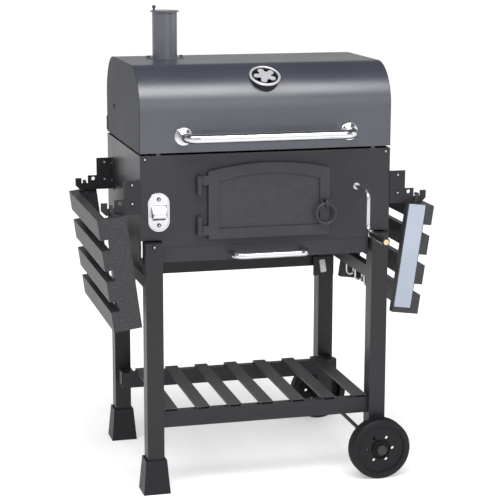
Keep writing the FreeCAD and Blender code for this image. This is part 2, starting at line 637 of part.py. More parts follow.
def ash_drawer():
    strip = box("-drawer_half", FRONT, "drawer_low", "2 * drawer_half", "panel_wall", "drawer_top - drawer_low")
    outer = box("-pan_half", FRONT + " + panel_wall", "pan_low", "2 * pan_half",
                "pan_back - panel_wall - " + FRONT, "pan_top - pan_low")
    inner = box("-pan_half + panel_wall", FRONT + " + 2 * panel_wall", "pan_low + panel_wall",
                "2 * (pan_half - panel_wall)", "pan_back - 3 * panel_wall - " + FRONT, "pan_top - pan_low")
    node("ash_drawer", fuse(strip, cut(outer, inner)))
    node("drawer_handle", tube_handle("drawer_grip_half", "drawer_grip_height", "drawer_grip_reach",
                                      "drawer_grip_bend", "drawer_grip_rod"))


def drawer_runners():
    """A strip with a lip under each side of the drawer, hung from the firebox floor."""
    runners = []
    for sign in (-1, 1):
        lip_low = "pan_low - runner_gap - panel_wall"
        web = "pan_half + runner_gap"
        wall = box(web if sign > 0 else "-(%s) - panel_wall" % web, "-" + LEG_NEAR + " + plate", lip_low,
                   "panel_wall", LEG_NEAR + " + pan_back - plate", "floor_height - (%s)" % lip_low)
        lip = box("%s - runner_lip" % web if sign > 0 else "-(%s)" % web, "-" + LEG_NEAR + " + plate", lip_low,
                  "runner_lip", LEG_NEAR + " + pan_back - plate", "panel_wall")
        runners.append(fuse(wall, lip))
    node("drawer_runners", *runners)


# ---- Charcoal lift: crank, pinions, racks and tray --------------------------------------------------------

PITCH_RADIUS = "(module * teeth / 2)"
ARM_Y = "(-body_depth / 2 - crank_front)"


def crank():
    shaft_end = BACK + " - panel_wall - plate"
    parts = [
        rod("Y", "crank_across", ARM_Y + " + crank_bend", "crank_height", "crank_rod",
            "%s - (%s + crank_bend)" % (shaft_end, ARM_Y)),
        elbow("crank_across", ARM_Y + " + crank_bend", "crank_height - crank_bend", "crank_bend", "crank_rod",
              (0, 0, 1), (0, -1, 0)),
        rod("Z", "crank_across", ARM_Y, "crank_height - crank_throw + crank_bend", "crank_rod",
            "crank_throw - 2 * crank_bend"),
        elbow("crank_across", ARM_Y + " - crank_bend", "crank_height - crank_throw + crank_bend", "crank_bend",
              "crank_rod", (0, 1, 0), (0, 0, -1)),
        rod("Y", "crank_across", ARM_Y + " - grip_start - grip_length + 2 * plate",
            "crank_height - crank_throw", "crank_rod", "grip_start + grip_length - 2 * plate - crank_bend"),
    ]
    node("crank_rod", fuse(*parts))


def crank_grip():
    """A tapered handle that spins on the end of the crank."""
    bore = "crank_rod + axle_fit"
    grip = turned([
        (bore, "0"), ("grip_thin", "0"), ("grip_thick", "grip_length - 2 * plate"),
        ("grip_thick - plate", "grip_length"), ("0", "grip_length"), ("0", "grip_length - plate"),
        (bore, "grip_length - plate"),
    ])
    place(grip, "crank_across", ARM_Y + " - grip_start", "crank_height - crank_throw", ALONG["-Y"])
    node("crank_grip", grip)


def bushings():
    sleeves = []
    for start in (FRONT + " - plate", BACK + " - panel_wall - bushing_long"):
        sleeve = rod("Y", "crank_across", start, "crank_height", "bushing_radius", "bushing_long")
        bore = rod("Y", "crank_across", start, "crank_height", "crank_rod + axle_fit", "bushing_long")
        sleeves.append(cut(sleeve, bore))
    node("crank_bushings", *sleeves)


def involute(angle):
    return math.tan(angle) - angle


def pinion_outline():
    """Corners of one spur pinion, tooth by tooth, with a tooth towards -X."""
    pitch = value(PITCH_RADIUS)
    base = pitch * math.cos(math.radians(value("pressure_angle")))
    root = pitch - value("dedendum")
    tip = pitch + value("addendum")
    count = int(value("teeth"))
    half_pitch = (math.pi * value("module") / 2 - value("tooth_play")) / (2 * pitch)
    steps = 6
    flank = [(root, half_pitch + involute(math.radians(value("pressure_angle"))))]
    for step in range(steps + 1):
        radius = base + (tip - base) * step / steps
        spread = half_pitch + involute(math.radians(value("pressure_angle")))
        flank.append((radius, spread - involute(math.acos(base / radius))))
    corners = []
    for tooth in range(count):
        middle = math.pi + 2 * math.pi * tooth / count
        for radius, spread in flank:
            corners.append((radius, middle - spread))
        for radius, spread in reversed(flank):
            corners.append((radius, middle + spread))
    return [(radius * math.cos(angle), radius * math.sin(angle)) for radius, angle in corners]


def rack_outline():
    """Corners of the rack's side, with a gap between teeth at the height of the crank shaft."""
    pitch = math.pi * value("module")
    slope = math.tan(math.radians(value("pressure_angle")))
    half = (pitch / 2 - value("tooth_play")) / 2
    tip = value("addendum")
    root = -value("dedendum")
    back = root - value("rack_back")
    low = value("rack_low - crank_height")
    top = value("rack_top - crank_height")
    corners = [(back, low), (root, low)]
    first = math.ceil((low + half) / pitch) + 0.5
    while (first + 0.5) * pitch < top:
        middle = first * pitch
        corners += [(root, middle - half + root * slope), (tip, middle - half + tip * slope),
                    (tip, middle + half - tip * slope), (root, middle + half - root * slope)]
        first += 1
    return corners + [(root, top), (back, top)]


def profile_solid(corners, start, depth):
    """A toothed outline in X and Z, drawn about the crank shaft or its rack line, along Y."""
    points = [FreeCAD.Vector(x, start, z) for x, z in corners]
    face = Part.Face(Part.makePolygon(points + points[:1]))
    feature = doc.addObject("Part::Feature", "Toothed")
    feature.Shape = face.extrude(FreeCAD.Vector(0, depth, 0))
    return feature


def lift_gear():
    """Two pinions on the crank shaft and the two racks of the tray, one pair near each wall."""
    near = value(BACK + " - rack_inset - rack_wide")
    wide = value("rack_wide")
    pinions = []
    racks = []
    for start in (-near - wide, near):
        blank = place(profile_solid(pinion_outline(), start, wide), "crank_across", "0", "crank_height")
        pinions.append(cut(blank, rod("Y", "crank_across", str(start), "crank_height", "crank_rod", str(wide))))
        rack = place(profile_solid(rack_outline(), start, wide), "crank_across - " + PITCH_RADIUS, "0",
                     "crank_height")
        side = 1 if start > 0 else -1
        reach = BACK + " - rack_inset - tray_depth / 2"
        arm = box("tray_left + tray_width - 2 * rack_wide", "tray_depth / 2" if side > 0 else
                  "-tray_depth / 2 - (%s)" % reach, "tray_low",
                  "crank_across - %s - dedendum - tray_left - tray_width + 2 * rack_wide" % PITCH_RADIUS, reach,
                  "rack_wide")
        racks.append(fuse(rack, arm))
    node("crank_pinions", *pinions)
    node("tray_racks", *racks)


def charcoal_tray():
    outer = box("tray_left", "-tray_depth / 2", "tray_low", "tray_width", "tray_depth", "tray_tall")
    inner = box("tray_left + tray_wall", "-tray_depth / 2 + tray_wall", "tray_low + tray_wall",
                "tray_width - 2 * tray_wall", "tray_depth - 2 * tray_wall", "tray_tall")
    tongue = box("tray_left - tongue_tall", "-tongue_half", "tray_low + rack_wide", "tongue_tall + tray_wall / 2",
                 "2 * tongue_half", "tongue_tall")
    node("charcoal_tray", fuse(cut(outer, inner), tongue))
    node("charcoal_grate", bar_grate("tray_left + tray_width / 2", "tray_depth - 4 * plate", "coal_rods - 1",
                                     "coal_pitch", "tray_low + tray_wall + 2 * grate_rod", "grate_rod"))


def tray_guides():
    """Blocks behind the racks on the front and rear walls, and a channel on the left wall."""
    pieces = []
    back = "crank_across - %s - dedendum - rack_back - slide_gap" % PITCH_RADIUS
    deep = "rack_inset + rack_wide - panel_wall"
    for start in (FRONT + " + panel_wall", BACK + " - rack_inset - rack_wide"):
        pieces.append(box(back + " - rack_wide", start, "guide_low", "rack_wide", deep, "guide_top - guide_low"))
    for sign in (-1, 1):
        near = "tongue_half + slide_gap"
        pieces.append(box("-" + INSIDE, near if sign > 0 else "-(%s) - plate" % near, "tray_low",
                          "tray_left + %s - 4 * plate" % INSIDE, "plate",
                          "tray_travel + rack_wide + tongue_tall + 2 * plate"))
    node("tray_guides", *pieces)


# ---- Frame: legs, feet, aprons and shelf -----------------------------------------------------------------

def legs():
    for side_name, side in SIDES:
        for end_name, end in (("front", -1), ("back", 1)):
            x = LEG_IN if side > 0 else "-frame_width / 2"
            y = LEG_NEAR if end > 0 else "-frame_depth / 2"
            low = "foot_floor" if side < 0 else "wheel_radius - leg_size / 2"
            outer = box(x, y, low, "leg_size", "leg_size", "leg_top - (%s)" % low)
            inner = box(x + " + leg_wall", y + " + leg_wall", "%s - plate" % low, "leg_size - 2 * leg_wall",
                        "leg_size - 2 * leg_wall", "leg_top - (%s) + plate - leg_wall" % low)
            holes = [rod("X", "%s - plate" % x, "%d * (%s - bolt_inset)" % (end, BACK), height, HOLE,
                         "leg_size + 2 * plate") for height in ("leg_bolt_low", "leg_bolt_high")]
            if end < 0:
                holes.append(rod("Y", "%s + leg_size / 2" % x, "%s - plate" % y, "front_bolt", HOLE, "3 * plate"))
            if side > 0:
                holes.append(rod("Y", LEG_MID, "%s - plate" % y, "wheel_radius", "axle_radius + axle_fit",
                                 "leg_size + 2 * plate"))
            node("%s_%s_leg" % (end_name, side_name), cut(outer, inner, *holes))


def feet():
    """Moulded boots on the two left legs."""
    for name, end in (("front", -1), ("back", 1)):
        boot = bind(doc.addObject("Part::Wedge", "Boot"), Xmin="-foot_sole / 2", Xmax="foot_sole / 2",
                    Zmin="-foot_sole / 2", Zmax="foot_sole / 2", X2min="-foot_top / 2", X2max="foot_top / 2",
                    Z2min="-foot_top / 2", Z2max="foot_top / 2", Ymin="0", Ymax="foot_height")
        y = "%d * (frame_depth - leg_size) / 2" % end
        place(boot, "-" + LEG_MID, y, "0", FreeCAD.Rotation(FreeCAD.Vector(1, 0, 0), 90))
        half = "(leg_size / 2 + socket_gap)"
        socket = box("-%s - %s" % (LEG_MID, half), "%s - %s" % (y, half), "foot_floor", "2 * " + half, "2 * " + half,
                     "foot_height")
        node(name + "_foot", cut(boot, socket))


def square_tube(x, y, z, long_x, long_y, long_z, along="", skin="leg_wall"):
    """A rectangular tube, open at the ends of one axis or closed all round."""
    wall = ["-plate" if axis == along else skin for axis in "XYZ"]
    low = ["%s + %s" % (text, inset) for text, inset in zip((x, y, z), wall)]
    size = ["%s - 2 * (%s)" % (text, inset) for text, inset in zip((long_x, long_y, long_z), wall)]
    return cut(box(x, y, z, long_x, long_y, long_z), box(*(low + size)))


def aprons():
    for name, sign in SIDES:
        x = "%s - apron_thick / 2" % (LEG_MID if sign > 0 else "-" + LEG_MID)
        node(name + "_side_apron", square_tube(x, "-" + LEG_NEAR, "side_apron_low", "apron_thick",
                                               "2 * " + LEG_NEAR, "side_apron_tall", "Y"))
    rear = square_tube("-" + LEG_IN, LEG_NEAR + " + rear_apron_inset", "rear_apron_low", "2 * " + LEG_IN,
                       "apron_thick", "rear_apron_tall", "X")
    plates = []
    for sign in (-1, 1):
        x = "frame_width / 2 - end_plate_wide" if sign > 0 else "-frame_width / 2"
        plates.append(box(x, LEG_NEAR + " - plate", "end_plate_low", "end_plate_wide", "plate", "end_plate_tall"))
    node("rear_apron", rear, *plates)


def shelf():
    node("shelf_front_rail", square_tube("-" + LEG_IN, "-shelf_front", "shelf_low", "2 * " + LEG_IN, "shelf_rail",
                                         "shelf_tall", "X"))
    rail = square_tube("-%s - rail_bracket" % LEG_IN, "shelf_back - shelf_rail", "shelf_low",
                       "2 * (%s + rail_bracket)" % LEG_IN, "shelf_rail", "shelf_tall", "X")
    ends = [box(LEG_IN if sign > 0 else "-%s - rail_bracket" % LEG_IN, "shelf_back", "shelf_low + plate",
                "rail_bracket", LEG_NEAR + " - shelf_back", "shelf_tall - 2 * plate") for sign in (-1, 1)]
    node("shelf_rear_rail", fuse(rail, *ends))
    slats = []
    for index in range(int(value("slat_count"))):
        x = "(%d - (slat_count - 1) / 2) * slat_pitch - slat_wide / 2" % index
        top = box(x, "-shelf_front", "shelf_low + shelf_tall", "slat_wide", "shelf_front + shelf_back", "slat_thick")
        hollow = box(x + " + leg_wall", "-shelf_front - plate", "shelf_low + shelf_tall - plate",
                     "slat_wide - 2 * leg_wall", "shelf_front + shelf_back + 2 * plate",
                     "slat_thick + plate - leg_wall")
        slats.append(cut(top, hollow))
    node("shelf_slats", *slats)


# ---- Wheels ----------------------------------------------------------------------------------------------

WHEEL_NEAR = "(frame_depth / 2 + wheel_gap)"


def wheels():
    """Moulded wheels that spin on a fixed axle."""
    bore = "axle_radius + axle_fit"
    for name, end in (("front", -1), ("back", 1)):
        blank = turned([
            (bore, "0"), ("hub_radius", "0"), ("hub_radius", "wheel_wide - web_in - web_thick"),
            ("rim_inner", "wheel_wide - web_in - web_thick"), ("rim_inner", "0"), ("wheel_radius - tread_round", "0"),
            ("wheel_radius", "tread_round"), ("wheel_radius", "wheel_wide - tread_round"),
            ("wheel_radius - tread_round", "wheel_wide"), ("rim_inner", "wheel_wide"),
            ("rim_inner", "wheel_wide - web_in"), ("hub_radius", "wheel_wide - web_in"),
            ("hub_radius", "wheel_wide - plate"), (bore, "wheel_wide - plate"),
        ])
        wheel = cut(blank, *around("wheel_holes", "hole_circle", "wheel_hole", "wheel_wide"))
        place(wheel, LEG_MID, "%d * %s" % (end, WHEEL_NEAR), "wheel_radius", ALONG["-Y" if end < 0 else "Y"])
        node(name + "_wheel", wheel)


def axle():
    half = "(%s + wheel_wide)" % WHEEL_NEAR
    shaft = rod("Y", LEG_MID, "-" + half, "wheel_radius", "axle_radius", "2 * " + half)
    washers = []
    for end in (-1, 1):
        start = "frame_depth / 2" if end > 0 else "-%s + wheel_play" % WHEEL_NEAR
        ring = rod("Y", LEG_MID, start, "wheel_radius", "2 * axle_radius", "wheel_gap - wheel_play")
        washers.append(ring)
    node("wheel_axle", fuse(shaft, *washers))
    caps = []
    for end in (-1, 1):
        cap = turned([("axle_radius + axle_fit", "wheel_play - plate"), ("axle_radius + plate", "wheel_play - plate"),
                      ("axle_radius + plate", "wheel_play"), ("cap_dome", "wheel_play"),
                      ("cap_dome - plate", "dome_thick"), ("0", "dome_thick"), ("0", "wheel_play"),
                      ("axle_radius + axle_fit", "wheel_play")])
        caps.append(place(cap, LEG_MID, "%d * %s" % (end, half), "wheel_radius", ALONG["-Y" if end < 0 else "Y"]))
    node("axle_caps", *caps)


# ---- Side tables: hook brackets on the firebox and the tables that hang in them ---------------------------

def hook_brackets():
    for name, sign in SIDES:
        pieces = []
        for start, angle_start in (("front_hook", "front_hook + plate"),
                                   ("rear_hook", "rear_hook - angle_wall")):
            corners = [("0", "hook_low"), ("hook_out - hook_chamfer", "hook_low"),
                       ("hook_out", "hook_low + hook_chamfer"), ("hook_out", "hook_tip"), ("notch_far", "hook_tip"),
                       ("notch_far", "notch_floor"), ("notch_near", "notch_floor"), ("notch_near", "hook_arm"),
                       ("hook_root", "hook_arm"), ("hook_root", "hook_plate_top"), ("0", "hook_plate_top")]
            points = [("%d * (%s + %s)" % (sign, HALF, x), z) for x, z in corners]
            front_holes = [rod("Y", "%d * (%s + hook_root / 2)" % (sign, HALF), start + " - plate", z, HOLE,
                               "4 * plate") for z in ("hook_arm - bolt_inset", "hook_plate_top - bolt_inset")]
            front_holes.append(rod("Y", "%d * (%s + lock_out)" % (sign, HALF), start + " - plate", "lock_height",
                                   "lock_hole", "3 * plate"))
            pieces.append(cut(extrude("Y", start, "plate", points), *front_holes))
            x = HALF if sign > 0 else "-%s - hook_root" % HALF
            leg = box(x, angle_start, "hook_low + plate", "hook_root", "angle_wall",
                      "hook_plate_top - hook_low - 2 * plate")
            back = "front_hook + plate" if start == "front_hook" else "rear_hook - angle_long"
            flange = box(HALF if sign > 0 else "-%s - angle_wall" % HALF, back, "hook_low + plate", "angle_wall",
                         "angle_long", "hook_plate_top - hook_low - 2 * plate")
            flange_holes = [rod("X", "%s - plate" % x, y, z, HOLE, "hook_root + 2 * plate")
                            for y, z in angle_bolt_spots()]
            more_holes = [rod("Y", "%d * (%s + hook_root / 2)" % (sign, HALF), angle_start + " - plate", z, HOLE,
                              "4 * plate") for z in ("hook_arm - bolt_inset", "hook_plate_top - bolt_inset")]
            pieces.append(cut(fuse(leg, flange), *(flange_holes + more_holes)))
        node(name + "_hook_brackets", *pieces)


def body_bolts():
    """Bolts of the legs, the hook brackets, the front wall's corners and the bottle opener."""
    bolts = []
    for sign in (-1, 1):
        inward = "X" if sign < 0 else "-X"
        outside = "%d * %s" % (sign, HALF)
        for y, z in leg_bolt_spots():
            bolts.append(screw(inward, outside, y, z, "body_width / 2 - frame_width / 2 + leg_wall + plate",
                               "body_width / 2 - frame_width / 2 - panel_wall"))
        for y, z in angle_bolt_spots():
            bolts.append(screw(inward, "%d * (%s + angle_wall)" % (sign, HALF), y, z,
                               "angle_wall + panel_wall + plate"))
        for z in ("hook_arm - bolt_inset", "hook_plate_top - bolt_inset"):
            x = "%d * (%s + hook_root / 2)" % (sign, HALF)
            bolts.append(screw("Y", x, "front_hook", z, "2 * plate + angle_wall"))
            bolts.append(screw("Y", x, "rear_hook - angle_wall", z, "2 * plate + angle_wall"))
        bolts.append(screw("Y", "%d * %s" % (sign, LEG_MID), "-frame_depth / 2", "front_bolt", "2 * plate"))
        bolts.append(screw("Y", "%d * (%s - bolt_inset)" % (sign, INSIDE), FRONT, "corner_bolt",
                           "panel_wall + plate"))
        bolts.append(screw("Y", "opener_across", FRONT + " - opener_plate",
                           "opener_height + %d * opener_screw" % sign, "opener_plate"))
    node("body_bolts", *bolts)


def table_rows():
    """Where each table's two end rails and their hooks stand: (rail start, lug start, pin start)."""
    return [("front_hook - rail_gap - rail_thick", "front_hook - rail_gap", "front_hook - rail_gap"),
            ("rear_hook + plate + rail_gap", "rear_hook + rail_gap", "rear_hook - 2 * plate")]


def side_tables():
    """Each table is drawn about its hanging pins, hanging straight down, and then tilted."""
    for name, sign in SIDES:
        rails = []
        for rail_start, lug_start, pin_start in table_rows():
            x = "-rail_inner" if sign > 0 else "rail_inner - rail_wide"
            rails.append(square_tube(x, rail_start, "-rail_top - rail_long", "rail_wide", "rail_thick", "rail_long",
                                     skin="table_wall"))
            strap = fuse(box("-lug_half", lug_start, "-lug_down", "2 * lug_half", "plate", "lug_down"),
                         rod("Y", "0", lug_start, "0", "lug_half", "plate"),
                         rod("Y", "0", pin_start, "0", "pin_radius", "rail_gap + 3 * plate"))
            rails.append(strap)
        first = "front_hook - rail_gap - rail_thick"
        long = "rear_hook + plate + rail_gap + rail_thick - (%s)" % first
        x = "rail_wide - rail_inner" if sign > 0 else "rail_inner - rail_wide - slat_stand"
        slats = [square_tube(x, first, "-rail_top - slat_tall - %d * slat_step" % index, "slat_stand", long,
                             "slat_tall", skin="table_wall")
                 for index in range(int(value("table_slats")))]
        for kind, pieces in (("frame", rails), ("slats", slats)):
            table = node("%s_table_%s" % (name, kind), *pieces)
            place(table, "%d * (%s + (notch_near + notch_far) / 2)" % (sign, HALF), "body_mid",
                  "notch_floor + pin_radius + pin_gap", FreeCAD.Rotation(FreeCAD.Vector(0, sign, 0), 1))
            table.setExpression(".Placement.Rotation.Angle", dims("table_tilt"))


# ---- Small fittings --------------------------------------------------------------------------------------

def bottle_opener():
    half = "opener_wide / 2"
    start = FRONT + " - opener_plate"
    straight = "opener_tall / 2 - opener_wide / 2"
    plate = fuse(box("opener_across - " + half, start, "opener_height - (%s)" % straight, "opener_wide",
                     "opener_plate", "2 * (%s)" % straight),
                 *[rod("Y", "opener_across", start, "opener_height + %d * (%s)" % (way, straight), half,
                       "opener_plate") for way in (-1, 1)])
    hood_start = "opener_across - opener_mouth / 2"
    middle = start + " - opener_lift"
    bulge = cut(rod("X", hood_start, middle, "opener_height", "opener_bulge", "opener_mouth"),
                rod("X", hood_start + " + opener_skin", middle, "opener_height", "opener_bulge - opener_skin",
                    "opener_mouth - 2 * opener_skin"),
                box(hood_start + " - plate", start, "opener_height - 2 * opener_bulge", "opener_mouth + 2 * plate",
                    "2 * opener_bulge", "4 * opener_bulge"),
                box(hood_start + " + opener_skin", start + " - 2 * opener_bulge",
                    "opener_height - 2 * opener_bulge", "opener_mouth - 2 * opener_skin", "2 * opener_bulge",
                    "opener_bulge + 2 * opener_skin"))
    holes = [rod("Y", "opener_across", start + " - plate", "opener_height + %d * opener_screw" % way, HOLE,
                 "2 * plate + opener_plate") for way in (-1, 1)]
    node("bottle_opener", cut(fuse(plate, bulge), *holes))


def utensil_hooks():
    """A wire rail under the right side, with three hooks that turn up at the end."""
    x = "frame_width / 2 + hook_bar_out"
    middle = "hook_bar_back"
    parts = [rod("Y", x, "%s - hook_bar_half" % middle, "hook_bar_height", "hook_wire", "2 * hook_bar_half")]
    for way in (-1, 1):
        parts.append(rod("X", LEG_MID + " + apron_thick / 2", "%s + %d * (hook_bar_half - bolt_inset)" % (middle, way),
                         "side_apron_low + 2 * plate", "hook_wire",
                         "%s - (%s + apron_thick / 2)" % (x, LEG_MID)))
        parts.append(rod("Z", x, "%s + %d * (hook_bar_half - bolt_inset)" % (middle, way), "hook_bar_height",
                         "hook_wire", "side_apron_low + 2 * plate - hook_bar_height"))
    for index in range(int(value("hook_count"))):
        y = "%s + (%d - (hook_count - 1) / 2) * (hook_bar_half - bolt_inset)" % (middle, index)
        parts.append(rod("Z", x, y, "hook_bar_height - hook_drop", "hook_wire", "hook_drop"))
        for start, end in (((-1, 0, 0), (0, 0, -1)), ((0, 0, -1), (1, 0, 0))):
            parts.append(elbow(x + " + hook_turn", y, "hook_bar_height - hook_drop", "hook_turn", "hook_wire", start,
                               end))
        parts.append(rod("Z", x + " + 2 * hook_turn", y, "hook_bar_height - hook_drop", "hook_wire", "hook_turn"))
    node("utensil_hooks", fuse(*parts))


def check(items):
    """Stop if any object failed to build or any sub-part is not a valid solid."""
    for item in doc.Objects:
        if "Invalid" in item.State or "Error" in item.State:
            raise RuntimeError("%s (%s) failed: %s" % (item.Name, item.Label, item.State))
    for item in items:
        shape = item.Shape
        if shape.isNull() or not shape.isValid() or not shape.Solids:
            raise RuntimeError("%s has no valid solid" % item.Label)


def export(items):
    os.makedirs("parts", exist_ok=True)
    for item in items:
        item.Shape.exportStep(os.path.join("parts", item.Label + ".step"))


fill_sheet()
for build in (front_panel, rear_panel, side_panels, firebox_floor, grate_ledges, cooking_grates, lid_shell,
              lid_ends, seam_spacers, lid_hinges, lid_handle, chimney, chimney_cap, lid_bolts, vent, door, door_hinge_posts,
              ring_handle, ash_drawer, drawer_runners, crank, crank_grip, bushings, lift_gear, charcoal_tray,
              tray_guides, legs, feet, aprons, shelf, wheels, axle, hook_brackets, body_bolts, side_tables,
              bottle_opener, utensil_hooks):
    build()
doc.recompute()
check(NODES)
export(NODES)
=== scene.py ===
import json
import math

import bmesh
import bpy
from mathutils import Euler, Matrix, Vector


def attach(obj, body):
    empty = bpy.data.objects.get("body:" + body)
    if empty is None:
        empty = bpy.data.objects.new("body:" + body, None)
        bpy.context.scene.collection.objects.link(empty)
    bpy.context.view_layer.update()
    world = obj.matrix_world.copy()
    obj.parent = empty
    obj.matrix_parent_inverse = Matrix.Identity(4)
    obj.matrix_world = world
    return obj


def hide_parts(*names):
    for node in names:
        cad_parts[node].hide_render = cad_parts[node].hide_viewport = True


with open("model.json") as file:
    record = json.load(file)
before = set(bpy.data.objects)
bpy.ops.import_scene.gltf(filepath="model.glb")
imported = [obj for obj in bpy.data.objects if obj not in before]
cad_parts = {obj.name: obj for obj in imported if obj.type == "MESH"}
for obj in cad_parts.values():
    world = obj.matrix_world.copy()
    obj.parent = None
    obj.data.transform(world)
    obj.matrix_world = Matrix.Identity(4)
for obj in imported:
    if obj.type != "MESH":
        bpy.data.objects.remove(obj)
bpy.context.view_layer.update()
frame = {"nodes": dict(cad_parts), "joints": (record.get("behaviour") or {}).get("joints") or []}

# ---- The view --------------------------------------------------------------------------------------------
# A long lens at chest height, a little to the left of the barbecue and looking slightly down on it.

scene = bpy.context.scene
camera_data = bpy.data.cameras.new("Camera")
camera_data.lens = 117.26
camera_data.sensor_width = 36.0
camera_data.clip_end = 60.0
camera = bpy.data.objects.new("Camera", camera_data)
camera_turn = Euler((math.radians(78.35), 0.0, math.radians(-14.88))).to_matrix()
camera_roll = Matrix.Rotation(math.radians(0.17), 3, "Z")
camera.matrix_world = Matrix.Translation((-0.9957, -3.7268, 1.3353)) @ (camera_turn @ camera_roll).to_4x4()
scene.collection.objects.link(camera)
scene.camera = camera
scene.view_settings.view_transform = "Standard"

# ---- The studio ------------------------------------------------------------------------------------------
# A white floor in a bright room. One large soft light hangs over the front, so that the curve of the lid
# mirrors a pale band; the ceiling behind it is dark, and weaker lights stand at the front and the right. The
# floor's own glow is weaker under the barbecue, a painted shadow, so that a soft shadow shows there.


def add(tree, kind, settings=None, **inputs):
    """A node of a tree. An input is a number, a colour, or an output of another node to link from."""
    item = tree.nodes.new("ShaderNode" + kind)
    for name, setting in (settings or {}).items():
        setattr(item, name, setting)
    for name, given in inputs.items():
        slot = int(name[1:]) if name[1:].isdigit() else name.replace("_", " ")
        if isinstance(given, bpy.types.NodeSocket):
            tree.links.new(given, item.inputs[slot])
        else:
            item.inputs[slot].default_value = given
    return item


def ramp(tree, value, *stops):
    """A colour ramp over (position, grey or colour) stops."""
    item = add(tree, "ValToRGB", Fac=value)
    band = item.color_ramp
    while len(band.elements) < len(stops):
        band.elements.new(0.5)
    for element, (position, shade) in zip(band.elements, stops):
        element.position = position
        element.color = (*shade, 1) if isinstance(shade, tuple) else (shade, shade, shade, 1)
    return item.outputs["Color"]


def surround():
    """The room: white behind the barbecue, even in its light, and graded where metal mirrors it."""
    world = bpy.data.worlds.new("Studio")
    world.use_nodes = True
    tree = world.node_tree
    tree.nodes.clear()
    direction = add(tree, "TexCoord").outputs["Generated"]
    height = add(tree, "SeparateXYZ", Vector=direction).outputs["Z"]
    shades = ramp(tree, height, (0.0, 0.85), (0.22, 0.75), (0.36, 0.16), (0.7, 0.1), (1.0, 0.1))
    mirrored = add(tree, "Background", Color=shades, Strength=1.0)
    even = add(tree, "Background", Color=(1.0, 1.0, 1.03, 1), Strength=0.42)
    white = add(tree, "Background", Color=(1.0, 1.0, 1.0, 1), Strength=1.05)
    rays = add(tree, "LightPath").outputs
    lit = add(tree, "MixShader", Fac=rays["Is Glossy Ray"], i1=even.outputs[0], i2=mirrored.outputs[0])
    mix = add(tree, "MixShader", Fac=rays["Is Camera Ray"], i1=lit.outputs[0], i2=white.outputs[0])
    add(tree, "OutputWorld", Surface=mix.outputs[0])
    scene.world = world


def soft_light(name, spot, aim, wide, tall, power):
    lamp = bpy.data.lights.new(name, "AREA")
    lamp.shape = "RECTANGLE"
    lamp.size = wide
    lamp.size_y = tall
    lamp.energy = power
    item = bpy.data.objects.new(name, lamp)
    item.location = spot
    item.rotation_euler = (Vector(aim) - Vector(spot)).to_track_quat("-Z", "Y").to_euler()
    scene.collection.objects.link(item)


surround()
soft_light("Light_over", (-0.35, -1.45, 2.6), (0.0, -0.1, 0.95), 3.2, 1.1, 84)
soft_light("Light_front", (0.9, -4.0, 1.7), (0.0, 0.0, 0.7), 1.6, 1.2, 12)
soft_light("Light_right", (3.2, -0.8, 1.6), (0.0, 0.0, 0.7), 1.2, 2.0, 12)

floor_mesh = bpy.data.meshes.new("Floor")
floor_mesh.from_pydata([(-9, -7, 0), (9, -7, 0), (9, 11, 0), (-9, 11, 0)], [], [(0, 1, 2, 3)])
floor = bpy.data.objects.new("Floor", floor_mesh)
scene.collection.objects.link(floor)
floor_white = bpy.data.materials.new("Floor_white")
floor_white.use_nodes = True
floor_tree = floor_white.node_tree
floor_shader = floor_tree.nodes["Principled BSDF"]
floor_shader.inputs["Base Color"].default_value = (0.8, 0.8, 0.8, 1)
floor_shader.inputs["Emission Color"].default_value = (1.0, 1.0, 1.0, 1)
floor_place = add(floor_tree, "TexCoord").outputs["Object"]
reach = add(floor_tree, "VectorMath", {"operation": "LENGTH"}, i0=floor_place).outputs["Value"]
# The floor glows less near the barbecue: a painted shadow.
floor_glow_painted_shadow = add(floor_tree, "MapRange", Value=reach, From_Min=0.45, From_Max=1.05, To_Min=0.4, To_Max=0.7)
floor_tree.links.new(floor_glow_painted_shadow.outputs["Result"], floor_shader.inputs["Emission Strength"])
floor_shader.inputs["Roughness"].default_value = 0.9
floor_shader.inputs["Specular IOR Level"].default_value = 0.0
floor_mesh.materials.append(floor_white)

# ---- Lid: hood and ends ----------------------------------------------------------------------------------
# A hood of rolled steel sheet, 1.5 mm thick, with two flat ends welded in and ground flush. It is sprayed
# with a satin heat-proof paint that shows a faint orange peel and a little settled dust; the ends are duller,
# and their paint is made darker as painted shade.


def finish_group(name, build, **inputs):
    """A node group that gives a colour, a roughness and a height; build fills it in."""
    tree = bpy.data.node_groups.new(name, "ShaderNodeTree")
    for socket, start in inputs.items():
        kind = "NodeSocketColor" if isinstance(start, tuple) else "NodeSocketFloat"
        tree.interface.new_socket(socket, in_out="INPUT", socket_type=kind).default_value = start
    for socket, kind in (("Color", "Color"), ("Roughness", "Float"), ("Height", "Float")):
        tree.interface.new_socket(socket, in_out="OUTPUT", socket_type="NodeSocket" + kind)
    given = tree.nodes.new("NodeGroupInput").outputs
    result = tree.nodes.new("NodeGroupOutput")
    for socket, source in zip(("Color", "Roughness", "Height"), build(tree, given)):
        tree.links.new(source, result.inputs[socket])
    return tree


def math_of(tree, operation, first, second, third=0.0):
    return add(tree, "Math", {"operation": operation}, i0=first, i1=second, i2=third).outputs[0]


def noise(tree, scale, detail=3.0, stretch=(1, 1, 1)):
    place = add(tree, "TexCoord").outputs["Object"]
    spread = add(tree, "Mapping", Vector=place, Scale=stretch).outputs["Vector"]
    return add(tree, "TexNoise", Vector=spread, Scale=scale, Detail=detail).outputs["Fac"]


def varied(tree, paint, amount, pattern):
    """The paint, lighter or darker by the amount as the pattern goes from 0 to 1."""
    change = math_of(tree, "MULTIPLY_ADD", math_of(tree, "SUBTRACT", pattern, 0.5), amount, 1.0)
    return add(tree, "HueSaturation", Color=paint, Value=change).outputs["Color"]


